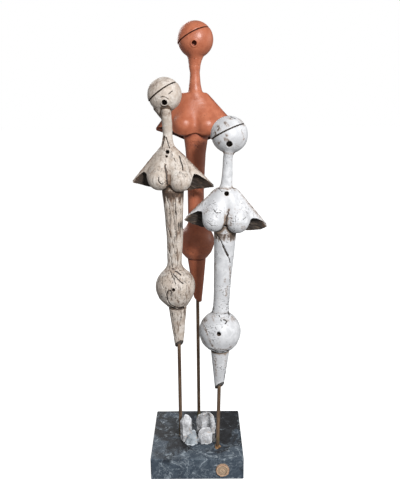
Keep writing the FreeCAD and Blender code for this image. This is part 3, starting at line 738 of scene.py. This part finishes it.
def crevice(field, points, normal):
    """0 on open surfaces to 1 deep in a crease, for painted shade, and how much each point stands on a sharp edge.
    """
    closed = np.zeros(len(points))
    # Looks out along the normal and also tilted up and down, up most, so that more shade is painted under
    # overhangs.
    for tilt, share in ((0.0, 0.5), (1.0, 0.35), (-1.0, 0.15)):
        outwards = normal + np.array((0.0, 0.0, tilt))
        outwards /= np.maximum(np.linalg.norm(outwards, axis=1, keepdims=True), 0.4)
        facing = np.maximum(np.sum(outwards * normal, axis=1), 0.1)
        for reach, weight in ((1.6, 0.26), (3.5, 0.27), (7.5, 0.26), (14.0, 0.21)):
            outward = field(points + outwards * reach)
            closed += share * weight * np.clip(1.0 - outward / (0.92 * reach * facing), 0.0, 1.0)
    closed = np.minimum(1.25 * closed, 1.0)
    inward = field(points - normal * 1.4)
    edge = np.clip((inward + 1.15) / 0.8, 0.0, 1.0)
    return closed, edge


def soften(points, faces, share, rounds=2):
    """Moves each point towards the middle of its neighbours, all the way where share is 1."""
    for _ in range(rounds):
        total = np.zeros_like(points)
        count = np.zeros(len(points))
        for corner in range(4):
            here, beside = faces[:, corner], faces[:, (corner + 1) % 4]
            count += np.bincount(here, minlength=len(points))
            for axis in range(3):
                total[:, axis] += np.bincount(here, points[beside, axis], len(points))
        points = points + share[:, None] * (total / np.maximum(count, 1.0)[:, None] - points)
    return points


def part_box(part, spec):
    """A box in the figure's frame that holds one clay part."""
    hip, hip_r = spec["hip"]
    head, head_r = spec["head"]
    neck_low = spec["neck"][0][2]
    leg_low, leg_high = spec["mouth"][0][2], spec["leg"][-1][2]
    if part == "leg":
        return (-17, -17, leg_low - 12), (17, 17, leg_high + 1)
    if part == "hip_ball":
        reach = hip_r + 3
        top = hip[2] + hip_r + WAIST_SEAM + 4
        return (hip[0] - reach, -reach, leg_high - 1), (hip[0] + reach, reach, top)
    if part == "waist":
        return (-24, -24, hip[2] + hip_r + WAIST_SEAM - 1), (24, 24, spec["waist"][-1][2] + 1)
    if part == "bust":
        low = min(z for _, z in spec["hem"]) - 4
        return (spec["tips"][0][0] - 3, -32, low), (spec["tips"][1][0] + 3, 19, neck_low + 7)
    if part == "neck":
        return (-30, -24, neck_low + 1), (24, 22, head[2] - 0.4 * head_r)
    reach = head_r + 6
    low = head[2] - reach
    return (head[0] - reach, head[1] - reach, low), (head[0] + reach, head[1] + reach, head[2] + reach)


def make_clay(figure):
    """The seven clay parts of one figure, each standing for its CAD node."""
    spec = FIGURES[figure]
    matrix = standing(figure)
    fields = clay_fields(spec)

    def whole(p):
        nearest = np.full(len(p), FAR)
        for part, field in fields.items():
            low, high = part_box(part, spec)
            near = np.all((p > np.array(low) - 8) & (p < np.array(high) + 8), axis=1)
            if near.any():
                nearest[near] = np.minimum(nearest[near], field(p[near]))
        return nearest

    for part, field in fields.items():
        low, high = part_box(part, spec)
        points, faces, normal = skin(field, low, high)
        closed, edge = crevice(whole, points, normal)
        if part == "bust":
            points = soften(points, faces, 0.7 * edge * (points[:, 2] < spec["shoulders"][2] - 2.0))
        depth, ink_and_shade, stain_and_shade = marked(points, MARKS[figure], figure)
        relief = WOBBLE[figure] * noise(points, (13, 13, 17), 3)
        for size, height, octaves in RELIEF[figure]:
            relief += height * rough(points, size, 23, octaves)
        calm = 1.0 - 0.8 * np.clip(edge * 1.4, 0, 1)
        points = points + normal * (relief * calm - depth)[:, None]
        grain = np.full(len(points), GRAIN.get(part, 1.0))
        # The crease depth goes to the material, which paints it as brown wash and painted shade.
        values = {"wash_and_shade": closed, "edge": edge, "ink_and_shade": ink_and_shade, "stain_and_shade": stain_and_shade, "grain": grain,
                  "inner": np.zeros(len(points))}
        if part in ("head", "crown"):
            centre, radius = spec["head"]
            up = np.array(spec["crown"][0], float)
            height = (points - centre) @ (up / np.linalg.norm(up)) - spec["crown"][1]
            sunk = np.linalg.norm(points - centre, axis=1) < radius - 0.45
            # The open groove under the crown is painted dark, as painted shade.
            values["ink_and_shade"] = np.where(sunk & (height > -0.3) & (height < GROOVE + 0.6), 1.0, ink_and_shade)
        if part == "leg":
            tip, lip = (np.array(v, float) for v in spec["mouth"])
            # The leg's bore and its slanting cut face are painted dark, as painted shade.
            bored = np.hypot(points[:, 0] - tip[0], points[:, 1]) < 0.62 * spec["leg"][1][3]
            cut = (points - tip) @ (lip / np.linalg.norm(lip)) > -0.9
            values["ink_and_shade"] = np.maximum(ink_and_shade, np.where(bored | cut, 0.9, 0.0))
        if part == "bust":
            # Faces inside the bust's hollow get painted shade in the material, and its outline's edges a brown
            # stain.
            values["inner"], ridge = cape_paint(points, spec)
            values["stain_and_shade"] = np.maximum(stain_and_shade, 0.85 * ridge)
            grooves = noise(points @ SLANT, (7.0, 7.0, 1.3), 71)
            points = points + normal * (0.55 * values["inner"] * grooves)[:, None]
        piece = mesh_piece(f"{figure}_{part}_clay", points, faces, matrix, values)
        piece.data.materials.append(CLAY[figure])
        node = f"{figure}_{part}"
        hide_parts(node)
        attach(piece, f"{figure}_figure")


# ---- materials ----
class Paint:
    """A material's node tree, with short calls for the nodes used here."""

    def __init__(self, name):
        self.material = bpy.data.materials.new(name)
        self.material.use_nodes = True
        self.tree = self.material.node_tree
        self.shader = self.tree.nodes["Principled BSDF"]
        self.place = self.add("ShaderNodeTexCoord").outputs["Object"]

    def add(self, kind, **settings):
        node = self.tree.nodes.new(kind)
        for key, value in settings.items():
            setattr(node, key, value)
        return node

    def put(self, socket, value):
        if isinstance(value, bpy.types.NodeSocket):
            self.tree.links.new(value, socket)
        else:
            socket.default_value = value

    def stretched(self, scale, turn=(0, 0, 0)):
        node = self.add("ShaderNodeMapping")
        self.put(node.inputs["Vector"], self.place)
        node.inputs["Scale"].default_value = scale
        node.inputs["Rotation"].default_value = turn
        return node.outputs["Vector"]

    def noise(self, size, detail=3.0, rough=0.55, distort=0.0, vector=None):
        """Noise with bumps about size millimetres across."""
        node = self.add("ShaderNodeTexNoise")
        self.put(node.inputs["Vector"], vector or self.place)
        node.inputs["Scale"].default_value = 0.6 / (size * MM)
        node.inputs["Detail"].default_value = detail
        node.inputs["Roughness"].default_value = rough
        node.inputs["Distortion"].default_value = distort
        return node.outputs["Fac"]

    def cells(self, size, feature="F1", vector=None):
        node = self.add("ShaderNodeTexVoronoi", feature=feature)
        self.put(node.inputs["Vector"], vector or self.place)
        node.inputs["Scale"].default_value = 1.0 / (size * MM)
        return node.outputs["Distance"]

    def attribute(self, name):
        return self.add("ShaderNodeAttribute", attribute_name=name).outputs["Fac"]

    def math(self, operation, a, b=0.0):
        node = self.add("ShaderNodeMath", operation=operation)
        self.put(node.inputs[0], a)
        self.put(node.inputs[1], b)
        return node.outputs[0]

    def plus(self, a, b):
        return self.math("ADD", a, b)

    def times(self, a, b):
        return self.math("MULTIPLY", a, b)

    def ramp(self, value, low, high, start=0.0, end=1.0):
        """value from low..high brought smoothly to start..end."""
        node = self.add("ShaderNodeMapRange", interpolation_type="SMOOTHSTEP")
        for index, item in enumerate((value, low, high, start, end)):
            self.put(node.inputs[index], item)
        return node.outputs[0]

    def mix(self, share, a, b, blend="MIX"):
        node = self.add("ShaderNodeMix", data_type="RGBA", blend_type=blend)
        self.put(node.inputs["Factor"], share)
        for socket, colour in ((node.inputs[6], a), (node.inputs[7], b)):
            self.put(socket, colour if isinstance(colour, bpy.types.NodeSocket) else (*colour, 1.0))
        return node.outputs[2]

    def bump(self, height, distance, strength=1.0, normal=None):
        node = self.add("ShaderNodeBump")
        self.put(node.inputs["Height"], height)
        node.inputs["Distance"].default_value = distance * MM
        node.inputs["Strength"].default_value = strength
        if normal:
            self.put(node.inputs["Normal"], normal)
        return node.outputs["Normal"]

    def finish(self, colour, roughness, normal=None, **constants):
        self.put(self.shader.inputs["Base Color"], colour)
        self.put(self.shader.inputs["Roughness"], roughness)
        if normal:
            self.put(self.shader.inputs["Normal"], normal)
        for key, value in constants.items():
            self.shader.inputs[key.replace("_", " ")].default_value = value
        return self.material


def clay(name, light, shade, wash_and_shade, dark, stain_and_shade, speck, bark, gloss, crease_shade_range, coarse):
    """Slip-painted clay: two tones of slip, brown wash and painted shade in the creases, painted shade inside
    the bust's hollow, dark cracks, pits, stains, and bands and streaks of painted shade.

    bark is how strongly long upright streaks show, crease_shade_range is the crease depth at which the wash
    and painted shade begin and are full, and coarse is the strength of the bump."""
    p = Paint(name)
    upright = p.stretched((1.0, 1.0, 0.22))
    flaws = p.times(p.ramp(p.attribute("grain"), 0.0, 1.0, 0.3, 1.0), speck)
    broad = p.noise(15.0, 3.0)
    patches = p.noise(5.5, 4.0, 0.62, 0.4)
    fine = p.noise(1.3, 3.0, 0.6)
    streaks = p.noise(2.6, 4.0, 0.62, 0.5, upright)
    keys = ("wash_and_shade", "ink_and_shade", "stain_and_shade", "edge", "inner", "grain")
    crease, ink_and_shade, shade_and_soil, edge, inner, grain = (p.attribute(key) for key in keys)
    slip = p.mix(p.ramp(patches, 0.36, 0.66), shade, light)
    slip = p.mix(p.ramp(broad, 0.34, 0.66, 0.55, 0.0), slip, shade)
    if bark:
        bark = p.times(grain, bark)
        line = p.times(p.ramp(streaks, 0.52, 0.67), bark)
        slip = p.mix(line, slip, wash_and_shade)
        hair = p.noise(1.9, 3.0, 0.65, 1.4, p.stretched((1.0, 1.0, 0.055)))
        slip = p.mix(p.times(p.ramp(hair, 0.565, 0.64), bark), slip, dark)
    crackle = p.cells(4.0, "DISTANCE_TO_EDGE", p.stretched((0.7, 0.9, 1.7)))
    where = p.times(p.ramp(p.noise(11.0, 3.0), 0.52, 0.60), p.ramp(fine, 0.46, 0.58))
    slip = p.mix(p.times(p.times(p.ramp(crackle, 0.03, 0.11, 1.0, 0.0), where), flaws), slip, dark)
    lines = p.noise(1.5, 3.0, 0.6, 0.3, p.stretched((0.18, 0.5, 1.0), (0.0, math.radians(-28), 0.0)))
    # Painted shade on the faces inside the bust's hollow, broken by slanting streaks.
    hollow_shade = p.times(inner, p.ramp(lines, 0.42, 0.60, 1.0, 0.22))
    # Painted shade and brown wash, deeper in deep creases and strongest inside the bust's hollow.
    shade_and_wash_depth = p.plus(p.plus(crease, p.ramp(patches, 0.3, 0.7, -0.12, 0.12)), p.times(hollow_shade, 1.7))
    slip = p.mix(p.ramp(shade_and_wash_depth, crease_shade_range[0], crease_shade_range[1]), slip, wash_and_shade)
    slip = p.mix(p.ramp(shade_and_wash_depth, crease_shade_range[1], crease_shade_range[1] + 0.42, 0.0, 0.85), slip, dark)
    # More painted shade inside the bust's hollow, darkest between the streaks.
    slip = p.mix(p.times(inner, p.ramp(lines, 0.44, 0.64, 0.95, 0.40)), slip, dark)
    spots = p.ramp(p.cells(3.4), 0.06, 0.17, 1.0, 0.0)
    some = p.ramp(p.noise(7.0, 1.0), 0.52, 0.62)
    slip = p.mix(p.times(p.times(spots, some), flaws), slip, dark)
    worn = p.times(p.ramp(p.noise(8.0, 5.0, 0.65, 0.6), 0.54, 0.74), 0.7 * speck)
    ragged = p.ramp(fine, 0.3, 0.7, -0.2, 0.2)
    # Stains, bands of painted shade and worn patches in the stain colour, dark where they are strongest.
    blot = p.ramp(p.plus(p.math("MAXIMUM", shade_and_soil, worn), ragged), 0.15, 1.0, 0.0, 0.85)
    slip = p.mix(blot, slip, stain_and_shade)
    slip = p.mix(p.ramp(p.plus(shade_and_soil, ragged), 0.55, 1.0, 0.0, 0.75), slip, dark)
    # Cracks and grooves dark, with painted shade in the leg's bore and the groove under the crown.
    slip = p.mix(p.ramp(p.plus(ink_and_shade, p.ramp(fine, 0.3, 0.7, -0.10, 0.10)), 0.22, 0.46), slip, dark)
    slip = p.mix(p.times(p.ramp(edge, 0.5, 1.0), p.ramp(inner, 0.0, 0.6, 0.35, 0.0)), slip, light)
    height = p.plus(p.times(fine, 0.5), p.times(patches, 0.6))
    if bark:
        height = p.plus(height, p.times(p.times(streaks, bark), -0.9))
    normal = p.bump(height, 0.5 * coarse, 0.8)
    normal = p.bump(spots, -0.14 * coarse, 0.6, normal)
    matt = p.ramp(p.plus(patches, p.times(crease, 0.5)), 0.3, 0.9, gloss[0], gloss[1])
    return p.finish(slip, matt, normal)


def marble():
    """Dark blue-grey marble, cloudy, with pale veins; polished on top, honed at the sides."""
    p = Paint("marble")
    bent = p.add("ShaderNodeVectorMath", operation="ADD")
    warp = p.add("ShaderNodeTexNoise")
    p.put(warp.inputs["Vector"], p.place)
    warp.inputs["Scale"].default_value = 28.0
    warp.inputs["Detail"].default_value = 4.0
    shift = p.add("ShaderNodeVectorMath", operation="SCALE")
    p.put(shift.inputs[0], warp.outputs["Color"])
    shift.inputs["Scale"].default_value = 0.035
    p.put(bent.inputs[0], p.place)
    p.put(bent.inputs[1], shift.outputs[0])
    where = bent.outputs[0]
    side = p.add("ShaderNodeSeparateXYZ")
    p.put(side.inputs[0], p.place)
    # Painted light: the front face is made lighter, fading towards the back, which is made a little darker.
    painted_front_light = p.ramp(side.outputs["Y"], -0.062, 0.010, 0.17, -0.03)
    cloud = p.plus(p.noise(24.0, 6.0, 0.62, 0.6, where), painted_front_light)
    smoke = p.noise(7.0, 7.0, 0.7, 1.0, where)
    grain = p.noise(1.0, 3.0, 0.7)
    rock = p.mix(p.ramp(cloud, 0.44, 0.66), (0.0085, 0.0080, 0.0090), (0.048, 0.064, 0.085))
    mist = p.mix(p.ramp(cloud, 0.40, 0.62), (0.034, 0.036, 0.041), (0.125, 0.155, 0.185))
    rock = p.mix(p.ramp(smoke, 0.46, 0.66, 0.0, 0.75), rock, mist)
    wide = p.math("ABSOLUTE", p.math("SUBTRACT", p.noise(30.0, 5.0, 0.6, 1.2, where), 0.5))
    shade_and_wash_depth = p.math("ABSOLUTE", p.math("SUBTRACT", p.noise(15.0, 5.0, 0.62, 1.4, where), 0.47))
    veins = p.times(p.ramp(wide, 0.0, 0.020, 0.75, 0.0), p.ramp(smoke, 0.44, 0.60))
    threads = p.times(p.ramp(shade_and_wash_depth, 0.0, 0.010, 0.6, 0.0), p.ramp(cloud, 0.42, 0.6))
    rock = p.mix(p.math("MAXIMUM", veins, threads), rock, (0.36, 0.41, 0.45))
    rock = p.mix(p.ramp(grain, 0.45, 0.75, 0.0, 0.14), rock, (0.20, 0.23, 0.27))
    polish = p.ramp(smoke, 0.3, 0.7, 0.36, 0.50)
    return p.finish(rock, polish, p.bump(grain, 0.05, 0.4), Specular_IOR_Level=0.14)


def patina():
    """Brown bronze rod with darker bands, greenish near the glue at its foot."""
    p = Paint("bronze_patina")
    along = p.stretched((1.0, 1.0, 0.25))
    mottle = p.noise(4.0, 4.0, 0.6, 0.3, along)
    scratch = p.noise(0.7, 2.0, 0.5, 0.0, p.stretched((1.0, 1.0, 0.06)))
    metal = p.mix(p.ramp(mottle, 0.35, 0.68), (0.13, 0.078, 0.050), (0.30, 0.20, 0.13))
    metal = p.mix(p.ramp(scratch, 0.56, 0.72, 0.0, 0.5), metal, (0.36, 0.25, 0.165))
    height = p.add("ShaderNodeSeparateXYZ")
    p.put(height.inputs[0], p.place)
    low = p.ramp(height.outputs["Z"], 0.036, 0.052, 1.0, 0.0)
    green = p.times(low, p.ramp(p.noise(3.0, 3.0), 0.45, 0.60))
    metal = p.mix(green, metal, (0.20, 0.19, 0.07))
    return p.finish(metal, p.ramp(mottle, 0.3, 0.7, 0.34, 0.55), p.bump(mottle, 0.12, 0.6), Metallic=0.62)


def stone(name, light, dark, edge_colour):
    """Rough broken stone: crystalline grain, painted shade in its hollows and paler edges."""
    p = Paint(name)
    lumps = p.noise(5.0, 5.0, 0.65, 0.3)
    grain = p.noise(0.9, 3.0, 0.7)
    crystal = p.cells(1.7)
    rock = p.mix(p.ramp(lumps, 0.36, 0.62), dark, light)
    rock = p.mix(p.ramp(grain, 0.52, 0.72, 0.0, 0.45), rock, dark)
    rock = p.mix(p.ramp(p.attribute("edge"), 0.1, 0.6, 0.0, 0.7), rock, edge_colour)
    # Painted shade in the hollows.
    rock = p.mix(p.ramp(p.attribute("wash_and_shade"), 0.2, 0.8, 0.0, 0.6), rock, (0.16, 0.14, 0.12))
    rust = p.times(p.ramp(p.noise(2.4, 2.0), 0.60, 0.70), 0.5)
    rock = p.mix(rust, rock, (0.42, 0.30, 0.20))
    normal = p.bump(p.plus(lumps, p.times(grain, 0.4)), 0.9, 0.9)
    normal = p.bump(crystal, 0.35, 0.7, normal)
    return p.finish(rock, p.ramp(grain, 0.3, 0.7, 0.55, 0.85), normal)


def amber():
    """Hardened glue, brown and lumpy with dust in it."""
    p = Paint("amber_glue")
    swirl = p.noise(2.4, 4.0, 0.6, 0.8)
    glue = p.mix(p.ramp(swirl, 0.38, 0.64), (0.12, 0.055, 0.020), (0.34, 0.19, 0.075))
    # Painted shade in the hollows.
    glue = p.mix(p.ramp(p.attribute("wash_and_shade"), 0.2, 0.8, 0.0, 0.7), glue, (0.05, 0.03, 0.02))
    return p.finish(glue, p.ramp(swirl, 0.3, 0.7, 0.22, 0.5), p.bump(swirl, 0.5, 0.8), Coat_Weight=0.25)


def pressed_clay():
    """Unglazed tan clay of the seal, with painted shade in its hollows."""
    p = Paint("seal_clay")
    mottle = p.noise(2.6, 4.0, 0.6)
    grain = p.noise(0.7, 2.0, 0.6)
    tan = p.mix(p.ramp(mottle, 0.36, 0.66), (0.36, 0.215, 0.135), (0.56, 0.375, 0.255))
    # Painted shade in the dish and the hollows.
    tan = p.mix(p.ramp(p.attribute("wash_and_shade"), 0.03, 0.22, 0.0, 1.0), tan, (0.10, 0.056, 0.034))
    tan = p.mix(p.ramp(p.attribute("edge"), 0.2, 0.8, 0.0, 0.4), tan, (0.72, 0.56, 0.38))
    return p.finish(tan, p.ramp(grain, 0.3, 0.7, 0.6, 0.8), p.bump(p.plus(mottle, grain), 0.3, 0.7))


def rubber():
    """Matt black cap with a dusting of grey."""
    p = Paint("cap_rubber")
    dust = p.noise(1.6, 4.0, 0.6)
    black = p.mix(p.ramp(dust, 0.45, 0.7), (0.016, 0.016, 0.017), (0.055, 0.052, 0.048))
    return p.finish(black, p.ramp(dust, 0.3, 0.7, 0.62, 0.85), p.bump(dust, 0.1, 0.5))


def putty():
    """Dark filler between rod and clay, rough and gritty."""
    p = Paint("dark_filler")
    grit = p.noise(1.4, 4.0, 0.65)
    mass = p.mix(p.ramp(grit, 0.38, 0.66), (0.045, 0.034, 0.027), (0.13, 0.10, 0.08))
    return p.finish(mass, p.ramp(grit, 0.3, 0.7, 0.7, 0.9), p.bump(grit, 0.4, 0.8))


CLAY = {
    "front": clay(
        "white_clay", light=(0.66, 0.665, 0.68), shade=(0.50, 0.505, 0.52), wash_and_shade=(0.19, 0.14, 0.105),
        dark=(0.030, 0.023, 0.019), stain_and_shade=(0.20, 0.12, 0.07), speck=1.0, bark=0.0, gloss=(0.42, 0.62),
        crease_shade_range=(0.13, 0.42), coarse=0.8),
    "left": clay(
        "beige_clay", light=(0.63, 0.58, 0.53), shade=(0.45, 0.38, 0.32), wash_and_shade=(0.155, 0.098, 0.064),
        dark=(0.032, 0.022, 0.016), stain_and_shade=(0.17, 0.09, 0.05), speck=0.6, bark=0.9, gloss=(0.5, 0.7),
        crease_shade_range=(0.10, 0.36), coarse=1.2),
    "back": clay(
        "terracotta", light=(0.46, 0.148, 0.075), shade=(0.37, 0.108, 0.053), wash_and_shade=(0.235, 0.058, 0.030),
        dark=(0.055, 0.016, 0.010), stain_and_shade=(0.20, 0.05, 0.026), speck=0.25, bark=0.0, gloss=(0.37, 0.60),
        crease_shade_range=(0.24, 0.75), coarse=1.2),
}
MATERIALS = {
    "marble": marble(), "bronze_rod": patina(), "glue": amber(), "seal_clay": pressed_clay(),
    "cap_rubber": rubber(), "filler": putty(),
    "white_stone": stone("white_stone", (0.63, 0.64, 0.66), (0.30, 0.30, 0.31), (0.80, 0.81, 0.83)),
    "grey_stone": stone("grey_stone", (0.38, 0.42, 0.455), (0.17, 0.19, 0.21), (0.62, 0.66, 0.70)),
    "white_clay": CLAY["front"], "beige_clay": CLAY["left"], "terracotta": CLAY["back"],
}


# ---- base, stones, glue and seal ----
# Each stone: hull points as (x, y) in the row frame and height above the marble, in mm.
STONES = {
    "stone_tall": [
        (-24, -15.5, 0), (-19.5, -22.3, 0), (-9.5, -20.5, 0), (-7.2, -14, 0), (-10, -8, 0),
        (-21, -7.5, 0), (-24.2, -15.5, 28.5), (-20, -21.6, 31), (-9, -20.2, 26.5), (-7.3, -14, 31.5),
        (-9.8, -8.5, 30), (-21.4, -8, 30), (-16.9, -17, 40.4), (-14, -15.4, 39.8), (-17.6, -13, 38),
    ],
    "stone_slab": [
        (-0.8, 2.6, 0), (6.8, -4.8, 0), (20, -4.6, 0), (25.5, 0, 0), (22, 8.5, 0), (3, 9.5, 0),
        (-1, 6, 0), (-1.2, 3, 20), (7, -4.8, 23), (20, -4.6, 16), (26, 0, 12), (-1, 6.5, 20),
        (2.2, 2, 29), (8, -3, 32.5), (15.5, -2.4, 35.8), (19.4, -1.5, 34), (24, 0.6, 27), (12, 6, 32),
        (22, 5, 24),
    ],
    "stone_front": [
        (0.8, -21.5, 0), (6, -28, 0), (14, -28.8, 0), (21.6, -22.5, 0), (20, -15.5, 0), (4, -14.4, 0),
        (0.6, -21, 12), (5, -27.6, 8), (21.6, -22, 13), (2.6, -19.5, 16.5), (8, -26.6, 12.5),
        (19.6, -24.4, 13.6), (18, -15.5, 18.4), (6, -15.5, 18.2),
    ],
    "stone_grey": [
        (-18.3, -26, 0), (-14, -31, 0), (-6, -31.6, 0), (0.6, -27.4, 0), (0.4, -17, 0), (-6, -15.4, 0),
        (-6, -17, 17.6), (-3.4, -17.4, 17), (-10.5, -21.5, 14.5), (-1.4, -20.5, 14), (-12, -24.4, 7.4),
        (-6.5, -28, 6.6), (-15.4, -27, 4), (0, -23, 9.5), (-2, -26.6, 6),
    ],
    "stone_chip": [
        (22, -22, 0), (23.6, -23.5, 0), (25.4, -21.4, 0), (25, -17.4, 0), (22.6, -17.2, 0),
        (22.3, -21.6, 9.6), (24.9, -21, 8.4), (23.9, -19.6, 11.8), (22.8, -18, 10),
    ],
}
GLUE = {"front": (4.7, 3.2), "left": (3.2, 1.4), "back": (3.2, 1.4)}


def hull_planes(corners):
    """Outward planes (normal, distance) of the hull round some points."""
    hull = bmesh.new()
    for corner in corners:
        hull.verts.new(corner)
    bmesh.ops.convex_hull(hull, input=hull.verts)
    hull.normal_update()
    faces = [face for face in hull.faces if face.calc_area() > 0.01]
    planes = [(*face.normal, face.normal.dot(face.verts[0].co)) for face in faces]
    hull.free()
    return np.array(planes)


def sculpt(name, field, low, high, step, slot):
    """A piece from a field in millimetres, with the crease and edge values its material reads."""
    points, faces, normal = skin(field, low, high, step)
    closed, edge = crevice(field, points, normal)
    values = {"wash_and_shade": closed, "edge": edge}
    piece = mesh_piece(f"{name}_sculpt", points, faces, Matrix.Scale(MM, 4), values)
    piece.data.materials.append(MATERIALS[slot])
    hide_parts(name)
    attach(piece, "root")


def make_stones():
    for seed, (name, corners) in enumerate(STONES.items()):
        lifted = [(x, y, z + MARBLE_TOP + 0.05) for x, y, z in corners]
        planes = hull_planes(lifted)

        def field(p, planes=planes, seed=seed):
            shape = np.full(len(p), -FAR)
            for nx, ny, nz, distance in planes:
                shape = both(shape, p @ np.array((nx, ny, nz)) - distance, 0.3)
            chips = 0.85 * rough(p, 5.5, 40 + seed, 3) + 0.35 * np.abs(noise(p, 1.7, 60 + seed))
            return both(shape + chips, MARBLE_TOP + 0.05 - p[:, 2])

        low, high = np.min(lifted, axis=0) - 1.2, np.max(lifted, axis=0) + 1.2
        sculpt(name, field, low, high, 0.55, SLOTS[name])


def make_glue():
    for seed, (figure, (radius, height)) in enumerate(GLUE.items()):
        name = f"{figure}_rod_bead"
        low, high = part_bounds(name)
        middle = (low + high) / 2 / MM
        centre = np.array((middle.x, middle.y, MARBLE_TOP))

        def field(p, centre=centre, radius=radius, height=height, seed=seed):
            q = p - centre
            spread = radius * (1.0 + 0.28 * noise(p, 3.0, 80 + seed))
            dome = np.sqrt(q[:, 0] ** 2 + q[:, 1] ** 2 + (q[:, 2] * radius / height) ** 2) - spread
            lumpy = dome * height / radius + 0.3 * noise(p, 1.5, 90 + seed)
            return both(lumpy, MARBLE_TOP + 0.03 - p[:, 2])

        reach = np.array((radius * 1.6, radius * 1.6, height * 1.6))
        sculpt(name, field, centre - reach, centre + reach, 0.35, "glue")


def make_seal():
    """Pressed disc with an uneven raised rim and a plain ring of relief, on the front face."""
    low, high = SEAL_LOW / MM, SEAL_HIGH / MM
    centre = (low + high) / 2
    radius, thick = (high.x - low.x) / 2, high.y - low.y
    face = high.y

    def field(p):
        across, up, out = p[:, 0] - centre.x, p[:, 2] - centre.z, face - p[:, 1]
        reach = np.hypot(across, up)
        flat = np.stack((across, up, np.zeros(len(p))), 1)
        edge = radius - 0.5 + 0.55 * noise(flat, 5.5, 7) + 0.2 * noise(flat, 2.0, 8)
        disc = both(reach - edge, out - (thick - 0.35) - 0.35 * noise(flat, 3.0, 9), 1.1)
        dish = both(reach - 0.66 * radius - 0.3 * noise(flat, 3.0, 12), thick - 1.25 - out, 0.5)
        shape = both(disc, -dish, 0.5)
        ring = np.hypot(reach - 0.40 * radius, out - (thick - 1.3)) - 0.62
        boss = np.hypot(reach * 0.6, out - (thick - 1.4)) - 0.75
        shape = join(join(shape, ring, 0.4), boss, 0.4)
        return both(shape + 0.12 * noise(p, 1.1, 14), -out)

    sculpt("makers_seal", field, np.array(low) - 0.8, np.array(high) + (0.8, 0.0, 0.8), 0.3, "seal_clay")


# ---- putting it together ----
for figure in FIGURES:
    make_clay(figure)
make_stones()
make_glue()
make_seal()
for node, shown in frame["nodes"].items():
    if not shown.hide_render:
        shown.data.materials.clear()
        shown.data.materials.append(MATERIALS[SLOTS[node]])

# ---- floor, lights and camera ----
CAMERA_AT = Vector((10.4, -742.8, 497.2)) * MM
PITCH, YAW, ROLL = math.radians(14.68), math.radians(0.32), math.radians(0.55)
FOCAL = 581.8 / 500 * 36.0  # the long side of the view is 36 mm of sensor
FLOOR_REACH, FLOOR_Z = 9.0, -0.0003  # metres; just under the marble, so that the two don't flicker
AIR_LIGHT, AIR_SEEN = 0.25, 1.0  # the white surroundings' strength as a light and to the camera

floor_mesh = bpy.data.meshes.new("studio_floor")
corners = [(x * FLOOR_REACH, y * FLOOR_REACH, FLOOR_Z) for x, y in ((-1, -1), (1, -1), (1, 1), (-1, 1))]
floor_mesh.from_pydata(corners, [], [(0, 1, 2, 3)])
floor = bpy.data.objects.new("studio_floor", floor_mesh)
bpy.context.scene.collection.objects.link(floor)
paper = Paint("studio_paper")
paper.finish((0.34, 0.34, 0.34, 1.0), 0.9, Emission_Color=(1, 1, 1, 1), Emission_Strength=0.95)
floor_mesh.materials.append(paper.material)
floor.visible_diffuse = False
floor.visible_glossy = False

world = bpy.data.worlds.new("studio_air")
world.use_nodes = True
air = world.node_tree.nodes["Background"]
air.inputs["Color"].default_value = (1.0, 1.0, 1.0, 1.0)
seen = world.node_tree.nodes.new("ShaderNodeLightPath")
strength = world.node_tree.nodes.new("ShaderNodeMapRange")
strength.inputs["To Min"].default_value = AIR_LIGHT
strength.inputs["To Max"].default_value = AIR_SEEN
world.node_tree.links.new(seen.outputs["Is Camera Ray"], strength.inputs["Value"])
world.node_tree.links.new(strength.outputs["Result"], air.inputs["Strength"])
bpy.context.scene.world = world


def area_light(name, at, target, size, power, colour=(1, 1, 1)):
    data = bpy.data.lights.new(name, "AREA")
    data.size = size
    data.energy = power
    data.color = colour
    light = bpy.data.objects.new(name, data)
    light.location = at
    light.rotation_euler = (Vector(target) - Vector(at)).to_track_quat("-Z", "Y").to_euler()
    bpy.context.scene.collection.objects.link(light)


MIDDLE = (0.0, 0.0, 0.33)
area_light("key_softbox", (0.58, -1.40, 1.16), MIDDLE, 0.24, 37.0)
area_light("rear_softbox", (-0.7, 1.5, 1.0), MIDDLE, 1.0, 14.0)
area_light("side_softbox", (1.6, 0.3, 0.7), MIDDLE, 0.9, 5.0)
area_light("fill_softbox", (-1.2, -0.9, 0.7), MIDDLE, 1.2, 2.0, (0.93, 0.96, 1.0))

camera_data = bpy.data.cameras.new("view")
camera_data.sensor_width = 36.0
camera_data.lens = FOCAL
camera_data.clip_start = 0.01
camera = bpy.data.objects.new("view", camera_data)
camera.location = CAMERA_AT
ahead = Vector((-math.sin(YAW) * math.cos(PITCH), math.cos(YAW) * math.cos(PITCH), -math.sin(PITCH)))
right = Vector((math.cos(YAW), math.sin(YAW), 0.0))
above = right.cross(ahead)
right, above = (right * math.cos(ROLL) - above * math.sin(ROLL),
                above * math.cos(ROLL) + right * math.sin(ROLL))
camera.rotation_euler = Matrix((right, above, -ahead)).transposed().to_euler()
bpy.context.scene.collection.objects.link(camera)
bpy.context.scene.camera = camera
bpy.context.scene.view_settings.view_transform = "Standard"
